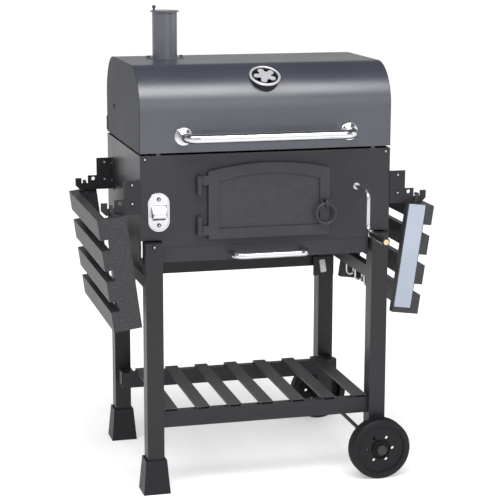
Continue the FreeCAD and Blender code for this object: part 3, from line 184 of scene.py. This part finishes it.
def sprayed(tree, given):
    cloud = noise(tree, 7.0, 5.0)
    dust = ramp(tree, noise(tree, 160.0, 6.0), (0.62, 0.0), (0.78, 1.0))
    paint = varied(tree, given["Paint"], given["Cloud"], cloud)
    color = add(tree, "MixRGB", Fac=math_of(tree, "MULTIPLY", dust, given["Dust"]), Color1=paint,
                Color2=(0.32, 0.31, 0.3, 1)).outputs["Color"]
    rough = math_of(tree, "MULTIPLY_ADD", cloud, 0.12, given["Shine"])
    peel = math_of(tree, "MULTIPLY", noise(tree, 520.0), given["Peel"])
    return color, rough, peel


SPRAYED = finish_group("Sprayed_paint", sprayed, Paint=(0.1, 0.1, 0.1, 1), Cloud=0.3, Dust=0.06, Shine=0.3,
                       Peel=0.5)


def material_of(name, group, values, metallic=0.0, bump=0.0003, specular=0.5):
    """A material whose colour, roughness and bump come from a finish group."""
    material = bpy.data.materials.new(name)
    material.use_nodes = True
    tree = material.node_tree
    shader = tree.nodes["Principled BSDF"]
    shader.inputs["Metallic"].default_value = metallic
    shader.inputs["Specular IOR Level"].default_value = specular
    detail = add(tree, "Group", {"node_tree": group}, **values)
    relief = add(tree, "Bump", Strength=1.0, Distance=bump, Height=detail.outputs["Height"])
    tree.links.new(detail.outputs["Color"], shader.inputs["Base Color"])
    tree.links.new(detail.outputs["Roughness"], shader.inputs["Roughness"])
    tree.links.new(relief.outputs["Normal"], shader.inputs["Normal"])
    return material


def dress(material, *names, bevel=0.0005, angle=32):
    """Give frame nodes their finish, smooth their curves and break their sharp edges a little."""
    for name in names:
        item = frame["nodes"][name]
        item.data.materials.clear()
        item.data.materials.append(material)
        item.data.polygons.foreach_set("use_smooth", [True] * len(item.data.polygons))
        item.data.set_sharp_from_angle(angle=math.radians(angle))
        edge = item.modifiers.new("Edge", "BEVEL")
        edge.width = bevel
        edge.segments = 2
        edge.limit_method = "ANGLE"
        edge.angle_limit = math.radians(angle)
        edge.harden_normals = True


LID_SPRAY = {"Paint": (0.034, 0.038, 0.052, 1), "Shine": 0.27}
lid_paint = material_of("Lid_paint", SPRAYED, LID_SPRAY, specular=1.0)
dress(lid_paint, "lid_shell", bevel=0.0007)
# The ends take the lid's paint made darker, which is painted shade, with a lower specular that makes them
# duller.
end_paint_painted_shade = material_of("Lid_ends_painted_shade", SPRAYED, {"Paint": (0.024, 0.026, 0.034, 1), "Shine": 0.4},
                        specular=0.1)
dress(end_paint_painted_shade, "lid_left_end", "lid_right_end", bevel=0.0007)

# ---- Lid: handle -----------------------------------------------------------------------------------------
# A bent tube of 22 mm, polished and chromed, that goes through a turned rosette at each end. The rosettes
# are spun from sheet: a flat rim, a hollow, and a raised neck round the tube.


def plated(tree, given):
    smudge = noise(tree, 24.0, 6.0)
    brush = noise(tree, 90.0, 4.0, (1, 1, 22))
    color = varied(tree, given["Metal"], 0.16, smudge)
    rough = math_of(tree, "MULTIPLY_ADD", smudge, given["Smudge"], given["Polish"])
    return color, rough, math_of(tree, "MULTIPLY", brush, given["Brush"])


PLATED = finish_group("Plated_metal", plated, Metal=(0.8, 0.8, 0.8, 1), Smudge=0.1, Polish=0.06, Brush=0.03)


def turned(mesh, profile, spot, axis, segments=40, shade=0):
    """Add a turned shape to a mesh: (radius, height) pairs in metres, along an axis from a spot."""
    turn = Vector((0, 0, 1)).rotation_difference(Vector(axis)).to_matrix()
    rings = []
    for radius, height in profile:
        count = 1 if radius == 0 else segments
        rings.append([mesh.verts.new(Vector(spot) + turn @ Vector((
            radius * math.cos(math.tau * k / segments), radius * math.sin(math.tau * k / segments), height)))
            for k in range(count)])
    for low, high in zip(rings, rings[1:]):
        for k in range(segments):
            corners = dict.fromkeys((low[k % len(low)], low[(k + 1) % len(low)],
                                     high[(k + 1) % len(high)], high[k % len(high)]))
            if len(corners) > 2:
                mesh.faces.new(list(corners)).material_index = shade


def piece(name, mesh, body, materials, stands_for=(), angle=32):
    """Make a mesh into a piece that moves with a body and stands for the given frame nodes."""
    bmesh.ops.recalc_face_normals(mesh, faces=mesh.faces)
    data = bpy.data.meshes.new(name)
    mesh.to_mesh(data)
    mesh.free()
    for material in materials:
        data.materials.append(material)
    data.polygons.foreach_set("use_smooth", [True] * len(data.polygons))
    data.set_sharp_from_angle(angle=math.radians(angle))
    item = bpy.data.objects.new(name, data)
    scene.collection.objects.link(item)
    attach(item, body)
    if stands_for:
        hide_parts(*stands_for)
    return item


chrome = material_of("Chrome", PLATED, {"Metal": (0.6, 0.6, 0.62, 1), "Polish": 0.14}, metallic=1.0,
                     bump=0.0001)
dress(chrome, "lid_handle", "drawer_handle", bevel=0.0003)

FRONT_Y = -0.1335
ROSETTE = [(0.0112, 0.0), (0.021, 0.0), (0.021, 0.0012), (0.0204, 0.0018), (0.0192, 0.0019), (0.0178, 0.0024),
           (0.0162, 0.0034), (0.0148, 0.0042), (0.0137, 0.0045), (0.0133, 0.0052), (0.0126, 0.0058),
           (0.0116, 0.006), (0.0112, 0.0058), (0.0112, 0.0)]
rosettes = bmesh.new()
for side in (-1, 1):
    turned(rosettes, ROSETTE, (0.198 * side, FRONT_Y, 0.84), (0, -1, 0), 56)
piece("Rosettes", rosettes, "lid", [chrome], ["handle_rosettes"])

# ---- Chimney and its cap ---------------------------------------------------------------------------------
# A welded tube of 60 mm with a pressed foot, in the lid's paint made paler: painted light. A stepped disc
# covers it and turns aside about a bolt near its rim, which has a tall black plastic knob. Small screws hold
# the foot and the lid's ends.


def moulded(tree, given):
    grain = noise(tree, 900.0, 2.0)
    flow = noise(tree, 14.0, 4.0)
    color = varied(tree, given["Plastic"], 0.25, flow)
    rough = math_of(tree, "MULTIPLY_ADD", grain, 0.1, given["Matt"])
    return color, rough, math_of(tree, "MULTIPLY", grain, given["Grain"])


MOULDED = finish_group("Moulded_plastic", moulded, Plastic=(0.04, 0.04, 0.04, 1), Matt=0.4, Grain=0.3)

# The chimney takes the lid's paint made paler, which is painted light.
chimney_paint_painted_light = material_of("Chimney_paint_painted_light", SPRAYED, {"Paint": (0.062, 0.066, 0.086, 1), "Shine": 0.24},
                            specular=1.0)
dress(chimney_paint_painted_light, "chimney", "chimney_cap", bevel=0.0006)
knob_plastic = material_of("Knob_plastic", MOULDED, {"Plastic": (0.012, 0.015, 0.016, 1), "Matt": 0.22})
black_screw = material_of("Black_screw", SPRAYED, {"Paint": (0.016, 0.016, 0.018, 1), "Shine": 0.3,
                                                   "Peel": 0.2})
zinc = material_of("Zinc", PLATED, {"Metal": (0.62, 0.62, 0.63, 1), "Polish": 0.24, "Brush": 0.15},
                   metallic=1.0, bump=0.0001)
SCREW_HEAD = [(0.0046, -0.0002), (0.0047, 0.0006), (0.0044, 0.0018), (0.0036, 0.0028), (0.0026, 0.0033),
              (0.0023, 0.0034)]
SCREW_RECESS = [(0.0023, 0.0034), (0.0021, 0.0033), (0.0019, 0.0018), (0.0, 0.0016)]


def screw(mesh, spot, axis):
    """A domed screw with a washer under it and a bright six-sided recess."""
    turned(mesh, SCREW_HEAD, spot, axis, 24)
    turned(mesh, SCREW_RECESS, spot, axis, 6, 1)


KNOB = [(0.0, 0.0), (0.0034, 0.0), (0.0036, 0.0008), (0.0026, 0.0022), (0.0025, 0.0042), (0.0032, 0.0056),
        (0.0042, 0.0066), (0.0044, 0.0086), (0.0042, 0.0104), (0.0034, 0.0116), (0.0018, 0.012), (0.0, 0.012)]
KNOB_SPOT = (-0.208, 0.1425, 1.1092)
KNOB_STEM = [(0.0, -0.002), (0.0022, -0.002), (0.0022, 0.0)]
SIDE_X = 0.3
lid_screws = bmesh.new()
for side in (-1, 1):
    screw(lid_screws, (-0.182 + 0.04 * side, 0.1425, 0.998), (0, 0, 1))
    screw(lid_screws, (SIDE_X * side, 0.1895, 0.876), (side, 0, 0))
turned(lid_screws, KNOB, KNOB_SPOT, (0, 0, 1), 36, 2)
turned(lid_screws, KNOB_STEM, KNOB_SPOT, (0, 0, 1), 16, 1)
piece("Lid_screws", lid_screws, "lid", [black_screw, zinc, knob_plastic], ["lid_bolts"])

# ---- Vent in the lid -------------------------------------------------------------------------------------
# A satin steel ring on a pressed seat, set into the curve of the hood. The seat and its neck are black as
# painted shade, the shadow gap under the ring. Inside it lie a black plate with five holes and a stamped
# steel shutter of five petals, which turns on a rivet to close them.


def joint_of(name):
    """The place and the axis of one of the frame's joints."""
    found = next(joint for joint in frame["joints"] if joint["name"] == name)
    return Vector(found["pos_m"]), Vector(found["axis"])


shutter_spot, VENT_AXIS = joint_of("vent_turn")
VENT_SPOT = shutter_spot - 0.0023 * VENT_AXIS
VENT_RING = [(0.0309, 0.0016), (0.0362, 0.0002), (0.0368, 0.0024), (0.0364, 0.004), (0.035, 0.0051),
             (0.0336, 0.0054), (0.0322, 0.005), (0.031, 0.0038), (0.0309, 0.0016)]
RIVET = [(0.0, 0.0062), (0.0016, 0.0061), (0.003, 0.0055), (0.0034, 0.0048), (0.0034, 0.0042)]
# The whole housing is black; on the seat and neck this black is painted shade under the ring.
painted_shade_seat = material_of("Vent_seat_painted_shade", SPRAYED, {"Paint": (0.008, 0.008, 0.01, 1), "Shine": 0.4}, specular=0.3)
dress(painted_shade_seat, "vent_housing", bevel=0.0002)
satin_steel = material_of("Satin_steel", PLATED, {"Metal": (0.5, 0.5, 0.52, 1), "Polish": 0.34, "Brush": 0.3},
                          metallic=0.35, bump=0.0001)
dress(satin_steel, "vent_shutter", bevel=0.0004)
ring = bmesh.new()
turned(ring, VENT_RING, VENT_SPOT, VENT_AXIS, 96)
turned(ring, RIVET, VENT_SPOT, VENT_AXIS, 24)
piece("Vent_ring", ring, "lid", [satin_steel])

# ---- Firebox ---------------------------------------------------------------------------------------------
# Folded sheet panels under the lid, sprayed in a darker grey than the hood. The floor, the ledges of the
# grates, the drawer's runners and the guides of the tray have a duller coat. Round-headed bolts hold the
# legs, the brackets of the tables and the corners of the front wall.

body_paint = material_of("Body_paint", SPRAYED, {"Paint": (0.021, 0.021, 0.026, 1), "Shine": 0.3},
                         specular=0.35)
dress(body_paint, "front_panel", "rear_panel", "left_side_panel", "right_side_panel", bevel=0.0006)
inner_paint = material_of("Inner_paint", SPRAYED, {"Paint": (0.03, 0.03, 0.032, 1), "Shine": 0.5, "Dust": 0.2})
dress(inner_paint, "firebox_floor", "grate_ledges", "drawer_runners", "tray_guides", "seam_spacers",
      bevel=0.0003)

LEG_X = 0.272
LEG_ROWS, BRACKET_ROWS = (0.56, 0.585), (0.69, 0.733)
OPENER = Vector((-0.257, FRONT_Y, 0.6675))
body_screws = bmesh.new()
for side in (-1, 1):
    for y in (-0.1235, 0.2765):
        for z in LEG_ROWS:
            screw(body_screws, (SIDE_X * side, y, z), (side, 0, 0))
    for y in (-0.1075, 0.2065):
        for z in BRACKET_ROWS:
            screw(body_screws, ((SIDE_X + 0.0025) * side, y, z), (side, 0, 0))
    for y in (-0.1365, 0.23):
        for z in BRACKET_ROWS:
            screw(body_screws, ((SIDE_X + 0.019) * side, y, z), (0, -1, 0))
    screw(body_screws, (LEG_X * side, FRONT_Y - 0.02, 0.59), (0, -1, 0))
    screw(body_screws, (0.2885 * side, FRONT_Y, 0.79), (0, -1, 0))
    screw(body_screws, OPENER + Vector((0, -0.003, 0.03 * side)), (0, -1, 0))
piece("Body_screws", body_screws, "stand", [black_screw, zinc], ["body_bolts"])

# ---- Lid hinges ------------------------------------------------------------------------------------------
# Flat steel arms spot-welded behind the lid turn on pins in eyes on the rear wall, all painted black.

hinge_paint = material_of("Hinge_paint", SPRAYED, {"Paint": (0.03, 0.03, 0.033, 1), "Shine": 0.4})
dress(hinge_paint, "lid_hinge_arms", "lid_hinge_brackets", bevel=0.0006)

# ---- Grates and charcoal tray ----------------------------------------------------------------------------
# Round bars welded on two flat straps make the cooking grates and the smaller one under the charcoal. The
# tray is folded sheet that has browned a little in the heat; toothed racks are welded to its right side.


def heated(tree, given):
    stain = noise(tree, 11.0, 7.0)
    scale = noise(tree, 260.0, 4.0)
    browned = ramp(tree, stain, (0.35, (0.36, 0.36, 0.37)), (0.6, (0.25, 0.22, 0.2)),
                   (0.8, (0.13, 0.1, 0.09)))
    color = add(tree, "MixRGB", {"blend_type": "MULTIPLY"}, Fac=1.0, Color1=browned,
                Color2=given["Metal"]).outputs["Color"]
    return color, math_of(tree, "MULTIPLY_ADD", scale, 0.3, 0.28), math_of(tree, "MULTIPLY", scale, 0.4)


HEATED = finish_group("Heated_steel", heated, Metal=(1.0, 1.0, 1.0, 1))
grate_steel = material_of("Grate_steel", HEATED, {"Metal": (1.0, 1.0, 1.0, 1)}, metallic=0.9)
dress(grate_steel, "left_cooking_grate", "right_cooking_grate", "charcoal_grate", bevel=0.0003)
tray_steel = material_of("Tray_steel", HEATED, {"Metal": (0.4, 0.4, 0.42, 1)}, metallic=0.6)
dress(tray_steel, "charcoal_tray", "tray_racks", bevel=0.0003)

# ---- Stoking door ----------------------------------------------------------------------------------------
# A grey iron casting with a raised border, hung on two pins at its left. The skin of the sand mould still
# shows under the paint. A loose forged ring hangs in its ear as the handle.


def cast(tree, given):
    sand = noise(tree, 420.0, 5.0)
    lumps = noise(tree, 60.0, 4.0)
    color = varied(tree, given["Iron"], 0.5, lumps)
    height = math_of(tree, "MULTIPLY_ADD", sand, 0.7, math_of(tree, "MULTIPLY", lumps, 1.6))
    return color, math_of(tree, "MULTIPLY_ADD", sand, 0.2, 0.3), height


CAST = finish_group("Cast_iron", cast, Iron=(0.04, 0.04, 0.044, 1))
cast_iron = material_of("Cast_iron", CAST, {"Iron": (0.026, 0.026, 0.032, 1)}, bump=0.0004, specular=0.4)
dress(cast_iron, "door_panel", bevel=0.0018)
dress(cast_iron, "door_hinge_posts", bevel=0.0008)
dress(cast_iron, "ring_handle", bevel=0.0002)
EAR = [(0.0, 0.0), (0.0018, 0.0004), (0.002, 0.003), (0.0026, 0.0058), (0.002, 0.0078), (0.0, 0.0086)]
ring_pivot = joint_of("ring_swing")[0]
ears = bmesh.new()
for side in (-1, 1):
    turned(ears, EAR, ring_pivot + Vector((0.0075 * side, -0.0002, 0.0012)), (0.6 * side, 0, 0.8), 16)
piece("Ring_ears", ears, "ring", [cast_iron])

# ---- Bottle opener ---------------------------------------------------------------------------------------
# A stamped steel plate with round ends, held by two screws. A hood drawn out of its middle catches the edge
# of a bottle cap from below.

bright_steel = material_of("Bright_steel", PLATED, {"Metal": (0.72, 0.72, 0.74, 1), "Polish": 0.2,
                                                    "Brush": 0.3}, metallic=1.0, bump=0.0001)
OPENER_RADIUS, OPENER_REACH, HOOD_WIDE = 0.0255, 0.02, 0.0185
OPENER_EDGE = [(0.0, 0.0), (0.0, 0.0022), (0.0008, 0.003), (0.0032, 0.003), (0.0038, 0.0024),
               (0.0052, 0.0023)]
HOOD = [(0.0022, 0.0175), (0.004, 0.0168), (0.0068, 0.0135), (0.0094, 0.009), (0.0118, 0.004),
        (0.0142, -0.001), (0.016, -0.0055), (0.0166, -0.0085), (0.0166, -0.0115)]


def strips(mesh, rows, closed=False, shade=0):
    """Join rows of vertices with faces, round the rows too if they are closed."""
    for low, high in zip(rows, rows[1:]):
        for k in range(len(low) if closed else len(low) - 1):
            face = mesh.faces.new((low[k], low[(k + 1) % len(low)], high[(k + 1) % len(low)], high[k]))
            face.material_index = shade


def opener():
    """The stadium plate with its pressed edge, the hood with turned-down cheeks, and a black face under it
    that stands for the slot as painted shade.
    """
    mesh = bmesh.new()
    loops = []
    for inset, out in OPENER_EDGE:
        radius = OPENER_RADIUS - inset
        loops.append([mesh.verts.new(OPENER + Vector((
            radius * math.cos(math.tau * (k + 0.5) / 64), -out,
            (OPENER_REACH if k < 32 else -OPENER_REACH) + radius * math.sin(math.tau * (k + 0.5) / 64))))
            for k in range(64)])
    strips(mesh, loops, closed=True)
    mesh.faces.new(loops[-1])
    mesh.faces.new(loops[0][::-1])
    skins = []
    for skin in (0.0, 0.0018):
        rows = []
        for out, height in HOOD:
            row = []
            for k in range(17):
                spread = -1 + k / 8
                drop = max(0.0, abs(spread) - 0.8) / 0.2
                reach_out = max(0.002, (out - skin) * (1 - 0.4 * drop ** 2))
                row.append(mesh.verts.new(OPENER + Vector((
                    (HOOD_WIDE - skin) * spread, -reach_out, height - skin))))
            rows.append(row)
        skins.append(rows)
        strips(mesh, rows)
    strips(mesh, [skins[0][-1], skins[1][-1]])
    for column in (0, 16):
        strips(mesh, [[row[column] for row in skins[0]], [row[column] for row in skins[1]]])
        wall = [mesh.verts.new((row[column].co.x, OPENER.y - 0.002, row[column].co.z)) for row in skins[0]]
        strips(mesh, [[row[column] for row in skins[0]], wall])
    # The slot is a black face, not a hole: painted shade under the hood.
    slot = [[mesh.verts.new(OPENER + Vector((x, -0.0027, z))) for x in (-0.015, 0.015)]
            for z in (-0.0185, 0.01)]
    strips(mesh, slot, shade=1)
    return mesh


piece("Bottle_opener", opener(), "stand", [bright_steel, black_screw], ["bottle_opener"])

# ---- Ash drawer ------------------------------------------------------------------------------------------
# A folded pan with a flat front strip, painted with the firebox; its chromed handle is screwed on from
# behind and is a smaller copy of the lid's.

dress(body_paint, "ash_drawer", bevel=0.0006)

# ---- Crank and charcoal lift -----------------------------------------------------------------------------
# A bent bright rod with pressed-on pinions runs through steel bushings in both walls. The grip is moulded
# black plastic that widens to its end, with a chromed ring at its neck and a brass nut on the rod's end.

dress(zinc, "crank_rod", "crank_bushings", bevel=0.0003)
dress(grate_steel, "crank_pinions", bevel=0.0002)
grip_plastic = material_of("Grip_plastic", MOULDED, {"Plastic": (0.012, 0.012, 0.013, 1), "Matt": 0.2})
brass = material_of("Brass", PLATED, {"Metal": (0.75, 0.6, 0.36, 1), "Polish": 0.2, "Brush": 0.1},
                    metallic=1.0, bump=0.0001)
GRIP_START = Vector((0.217, -0.2435, 0.617))
HANDHOLD = [(0.0074, 0.007), (0.0078, 0.009), (0.0084, 0.03), (0.0092, 0.07), (0.0099, 0.095), (0.01, 0.1005),
            (0.0097, 0.1035), (0.0088, 0.1052), (0.0076, 0.1056), (0.0072, 0.1046)]
NECK_RING = [(0.0047, 0.0), (0.0076, 0.0), (0.0084, 0.0008), (0.0087, 0.0022), (0.0087, 0.0055),
             (0.0083, 0.0068), (0.0074, 0.0072)]
END_NUT = [(0.0073, 0.104), (0.0073, 0.1072), (0.0068, 0.108), (0.0046, 0.108), (0.004, 0.107), (0.0, 0.107)]
grip = bmesh.new()
turned(grip, HANDHOLD, GRIP_START, (0, -1, 0), 48)
turned(grip, NECK_RING, GRIP_START, (0, -1, 0), 48, 1)
turned(grip, END_NUT, GRIP_START, (0, -1, 0), 6, 2)
piece("Grip_moulding", grip, "grip", [grip_plastic, chrome, brass], ["crank_grip"])

# ---- Frame: legs, aprons and shelf -----------------------------------------------------------------------
# Square steel tube of 40 mm for the legs, flatter tube for the aprons and the rails of the shelf, all welded
# and powder-coated. The slats of the shelf are shallow channels with a coarse speckled coat.


def speckled(tree, given):
    spots = ramp(tree, noise(tree, 330.0, 2.0), (0.42, 0.0), (0.62, 1.0))
    patches = noise(tree, 60.0, 4.0)
    pale = varied(tree, given["Pale"], 0.9, patches)
    color = add(tree, "MixRGB", Fac=spots, Color1=given["Dark"], Color2=pale).outputs["Color"]
    rough = math_of(tree, "MULTIPLY_ADD", patches, 0.2, 0.38)
    return color, rough, math_of(tree, "MULTIPLY", noise(tree, 330.0, 2.0), 1.2)


SPECKLED = finish_group("Speckled_paint", speckled, Pale=(0.1, 0.1, 0.1, 1), Dark=(0.02, 0.02, 0.023, 1))
frame_paint = material_of("Frame_paint", SPRAYED, {"Paint": (0.017, 0.017, 0.02, 1), "Shine": 0.34},
                          specular=0.3)
dress(frame_paint, "front_left_leg", "back_left_leg", "front_right_leg", "back_right_leg", bevel=0.0022)
dress(frame_paint, "left_side_apron", "right_side_apron", "rear_apron", bevel=0.0012)
dress(frame_paint, "shelf_front_rail", "shelf_rear_rail", bevel=0.0012)
speckled_paint = material_of("Speckled_paint", SPECKLED, {"Pale": (0.085, 0.085, 0.092, 1)}, bump=0.0005,
                             specular=0.35)
dress(speckled_paint, "shelf_slats", bevel=0.001)

# ---- Feet ------------------------------------------------------------------------------------------------
# Moulded plastic boots on the left legs, wider at the sole, with the even grain of a spark-eroded mould.

foot_plastic = material_of("Foot_plastic", MOULDED, {"Plastic": (0.012, 0.0115, 0.015, 1), "Matt": 0.42},
                           specular=0.25)
dress(foot_plastic, "front_foot", "back_foot", bevel=0.0025)

# ---- Wheels ----------------------------------------------------------------------------------------------
# Moulded in one piece: a ribbed tread, a rim, a sunk web with six holes and a hub. Each runs on the blackened
# steel axle and is kept on by a pressed dome.

wheel_plastic = material_of("Wheel_plastic", MOULDED, {"Plastic": (0.011, 0.011, 0.013, 1), "Matt": 0.46},
                            specular=0.2)
AXLE = Vector((LEG_X, 0.0765, 0.074))
HUB_NEAR = 0.234
TREAD_STEPS, TREAD_RADIUS, RIB_DEPTH = 288, 0.0734, 0.0018
HOLE_COUNT, HOLE_RING, HOLE = 6, 0.031, [(0.0, 0.0), (0.0042, 0.0), (0.0042, 0.02), (0.0, 0.02)]
WHEEL = [(0.00508, 0.0), (0.0178, 0.0), (0.019, 0.0012), (0.019, 0.022), (0.057, 0.022), (0.058, 0.021),
         (0.058, 0.001), (0.059, 0.0), (0.0706, 0.0), (0.0736, 0.0028), (0.074, 0.0036), (0.074, 0.0304),
         (0.0736, 0.0312), (0.0706, 0.034), (0.061, 0.034), (0.0585, 0.0325), (0.058, 0.0285), (0.0555, 0.028),
         (0.0245, 0.028), (0.0235, 0.024), (0.0195, 0.024), (0.019, 0.0292), (0.0178, 0.031), (0.00508, 0.031),
         (0.00508, 0.0)]


def wheel(name, body, node_name, way):
    """A turned wheel whose tread is cut by cross ribs; six holes are bored through its web."""
    mesh = bmesh.new()
    near = AXLE + Vector((0, way * HUB_NEAR, 0))
    turned(mesh, WHEEL, near, (0, way, 0), TREAD_STEPS)
    for vertex in mesh.verts:
        across = Vector((vertex.co.x - near.x, 0, vertex.co.z - near.z))
        along = abs(vertex.co.y - near.y)
        step = round(math.atan2(across.z, across.x) / math.tau * TREAD_STEPS)
        if across.length > TREAD_RADIUS and 0.003 < along < 0.031 and step % 4 < 2:
            vertex.co -= across.normalized() * RIB_DEPTH
    item = piece(name, mesh, body, [wheel_plastic], [node_name])
    drill = bmesh.new()
    for k in range(HOLE_COUNT):
        angle = math.tau * k / HOLE_COUNT
        spot = near + Vector((HOLE_RING * math.cos(angle), way * 0.015, HOLE_RING * math.sin(angle)))
        turned(drill, HOLE, spot, (0, way, 0), 20)
    bmesh.ops.recalc_face_normals(drill, faces=drill.faces)
    data = bpy.data.meshes.new("Drill")
    drill.to_mesh(data)
    drill.free()
    bit = bpy.data.objects.new("Drill", data)
    scene.collection.objects.link(bit)
    bore = item.modifiers.new("Holes", "BOOLEAN")
    bore.object = bit
    bore.solver = "EXACT"
    bored = bpy.data.meshes.new_from_object(item.evaluated_get(bpy.context.evaluated_depsgraph_get()))
    item.modifiers.remove(bore)
    item.data = bored
    bored.polygons.foreach_set("use_smooth", [True] * len(bored.polygons))
    bored.set_sharp_from_angle(angle=math.radians(30))
    bpy.data.objects.remove(bit)


wheel("Wheel_front_moulding", "wheel_front", "front_wheel", -1)
wheel("Wheel_back_moulding", "wheel_back", "back_wheel", 1)
dress(black_screw, "wheel_axle", bevel=0.0003)
dress(grip_plastic, "axle_caps", bevel=0.0012)

# ---- Side tables -----------------------------------------------------------------------------------------
# Each table is four slats of closed flat tube welded on two end rails, with a darker coat of the speckled
# paint. Lugs with round pins hang it in the notches of the painted hook brackets.

dress(frame_paint, "left_hook_brackets", "right_hook_brackets", bevel=0.0005)
table_paint = material_of("Table_paint", SPECKLED, {"Pale": (0.045, 0.045, 0.05, 1)}, bump=0.0005,
                          specular=0.35)
dress(table_paint, "left_table_slats", "right_table_slats", bevel=0.0012)
dress(table_paint, "left_table_frame", "right_table_frame", bevel=0.0008)

# ---- Utensil hooks ---------------------------------------------------------------------------------------
# One bent and welded wire of 5 mm, chromed, under the apron at the right.

dress(chrome, "utensil_hooks", bevel=0.0002)

# ---- Labels ----------------------------------------------------------------------------------------------
# Two blank stickers: a white one at the end of the rear apron and a pale one on the right table's front
# rail. They are cut with round corners and pressed on.

sticker = material_of("Sticker", MOULDED, {"Plastic": (0.75, 0.75, 0.74, 1), "Matt": 0.35, "Grain": 0.05})
pale_sticker = material_of("Pale_sticker", MOULDED, {"Plastic": (0.33, 0.37, 0.44, 1), "Matt": 0.4,
                                                     "Grain": 0.05})
CORNER = 0.003
STICKER_EDGE = [(0.0, 0.0), (0.00015, 0.0), (0.0002, 0.0002)]


def label(name, body, middle, wide, tall, tilt, material):
    """A thin sticker with round corners that faces the front, tilted in its own plane."""
    mesh = bmesh.new()
    turn = Matrix.Rotation(tilt, 3, "Y")
    outlines = []
    for out, inset in STICKER_EDGE:
        outline = []
        for k in range(32):
            angle = math.tau * (k + 0.5) / 32
            x = math.copysign(wide / 2 - CORNER, math.cos(angle)) + (CORNER - inset) * math.cos(angle)
            z = math.copysign(tall / 2 - CORNER, math.sin(angle)) + (CORNER - inset) * math.sin(angle)
            outline.append(mesh.verts.new(Vector(middle) + turn @ Vector((x, -out, z))))
        outlines.append(outline)
    strips(mesh, outlines, closed=True)
    mesh.faces.new(outlines[-1])
    mesh.faces.new(outlines[0][::-1])
    piece(name, mesh, body, [material])


label("Apron_label", "stand", (0.2625, 0.2634, 0.432), 0.0155, 0.034, math.radians(-8), sticker)
label("Table_label", "right_table", (0.3452, -0.1606, 0.54), 0.041, 0.25, math.radians(7.7), pale_sticker)
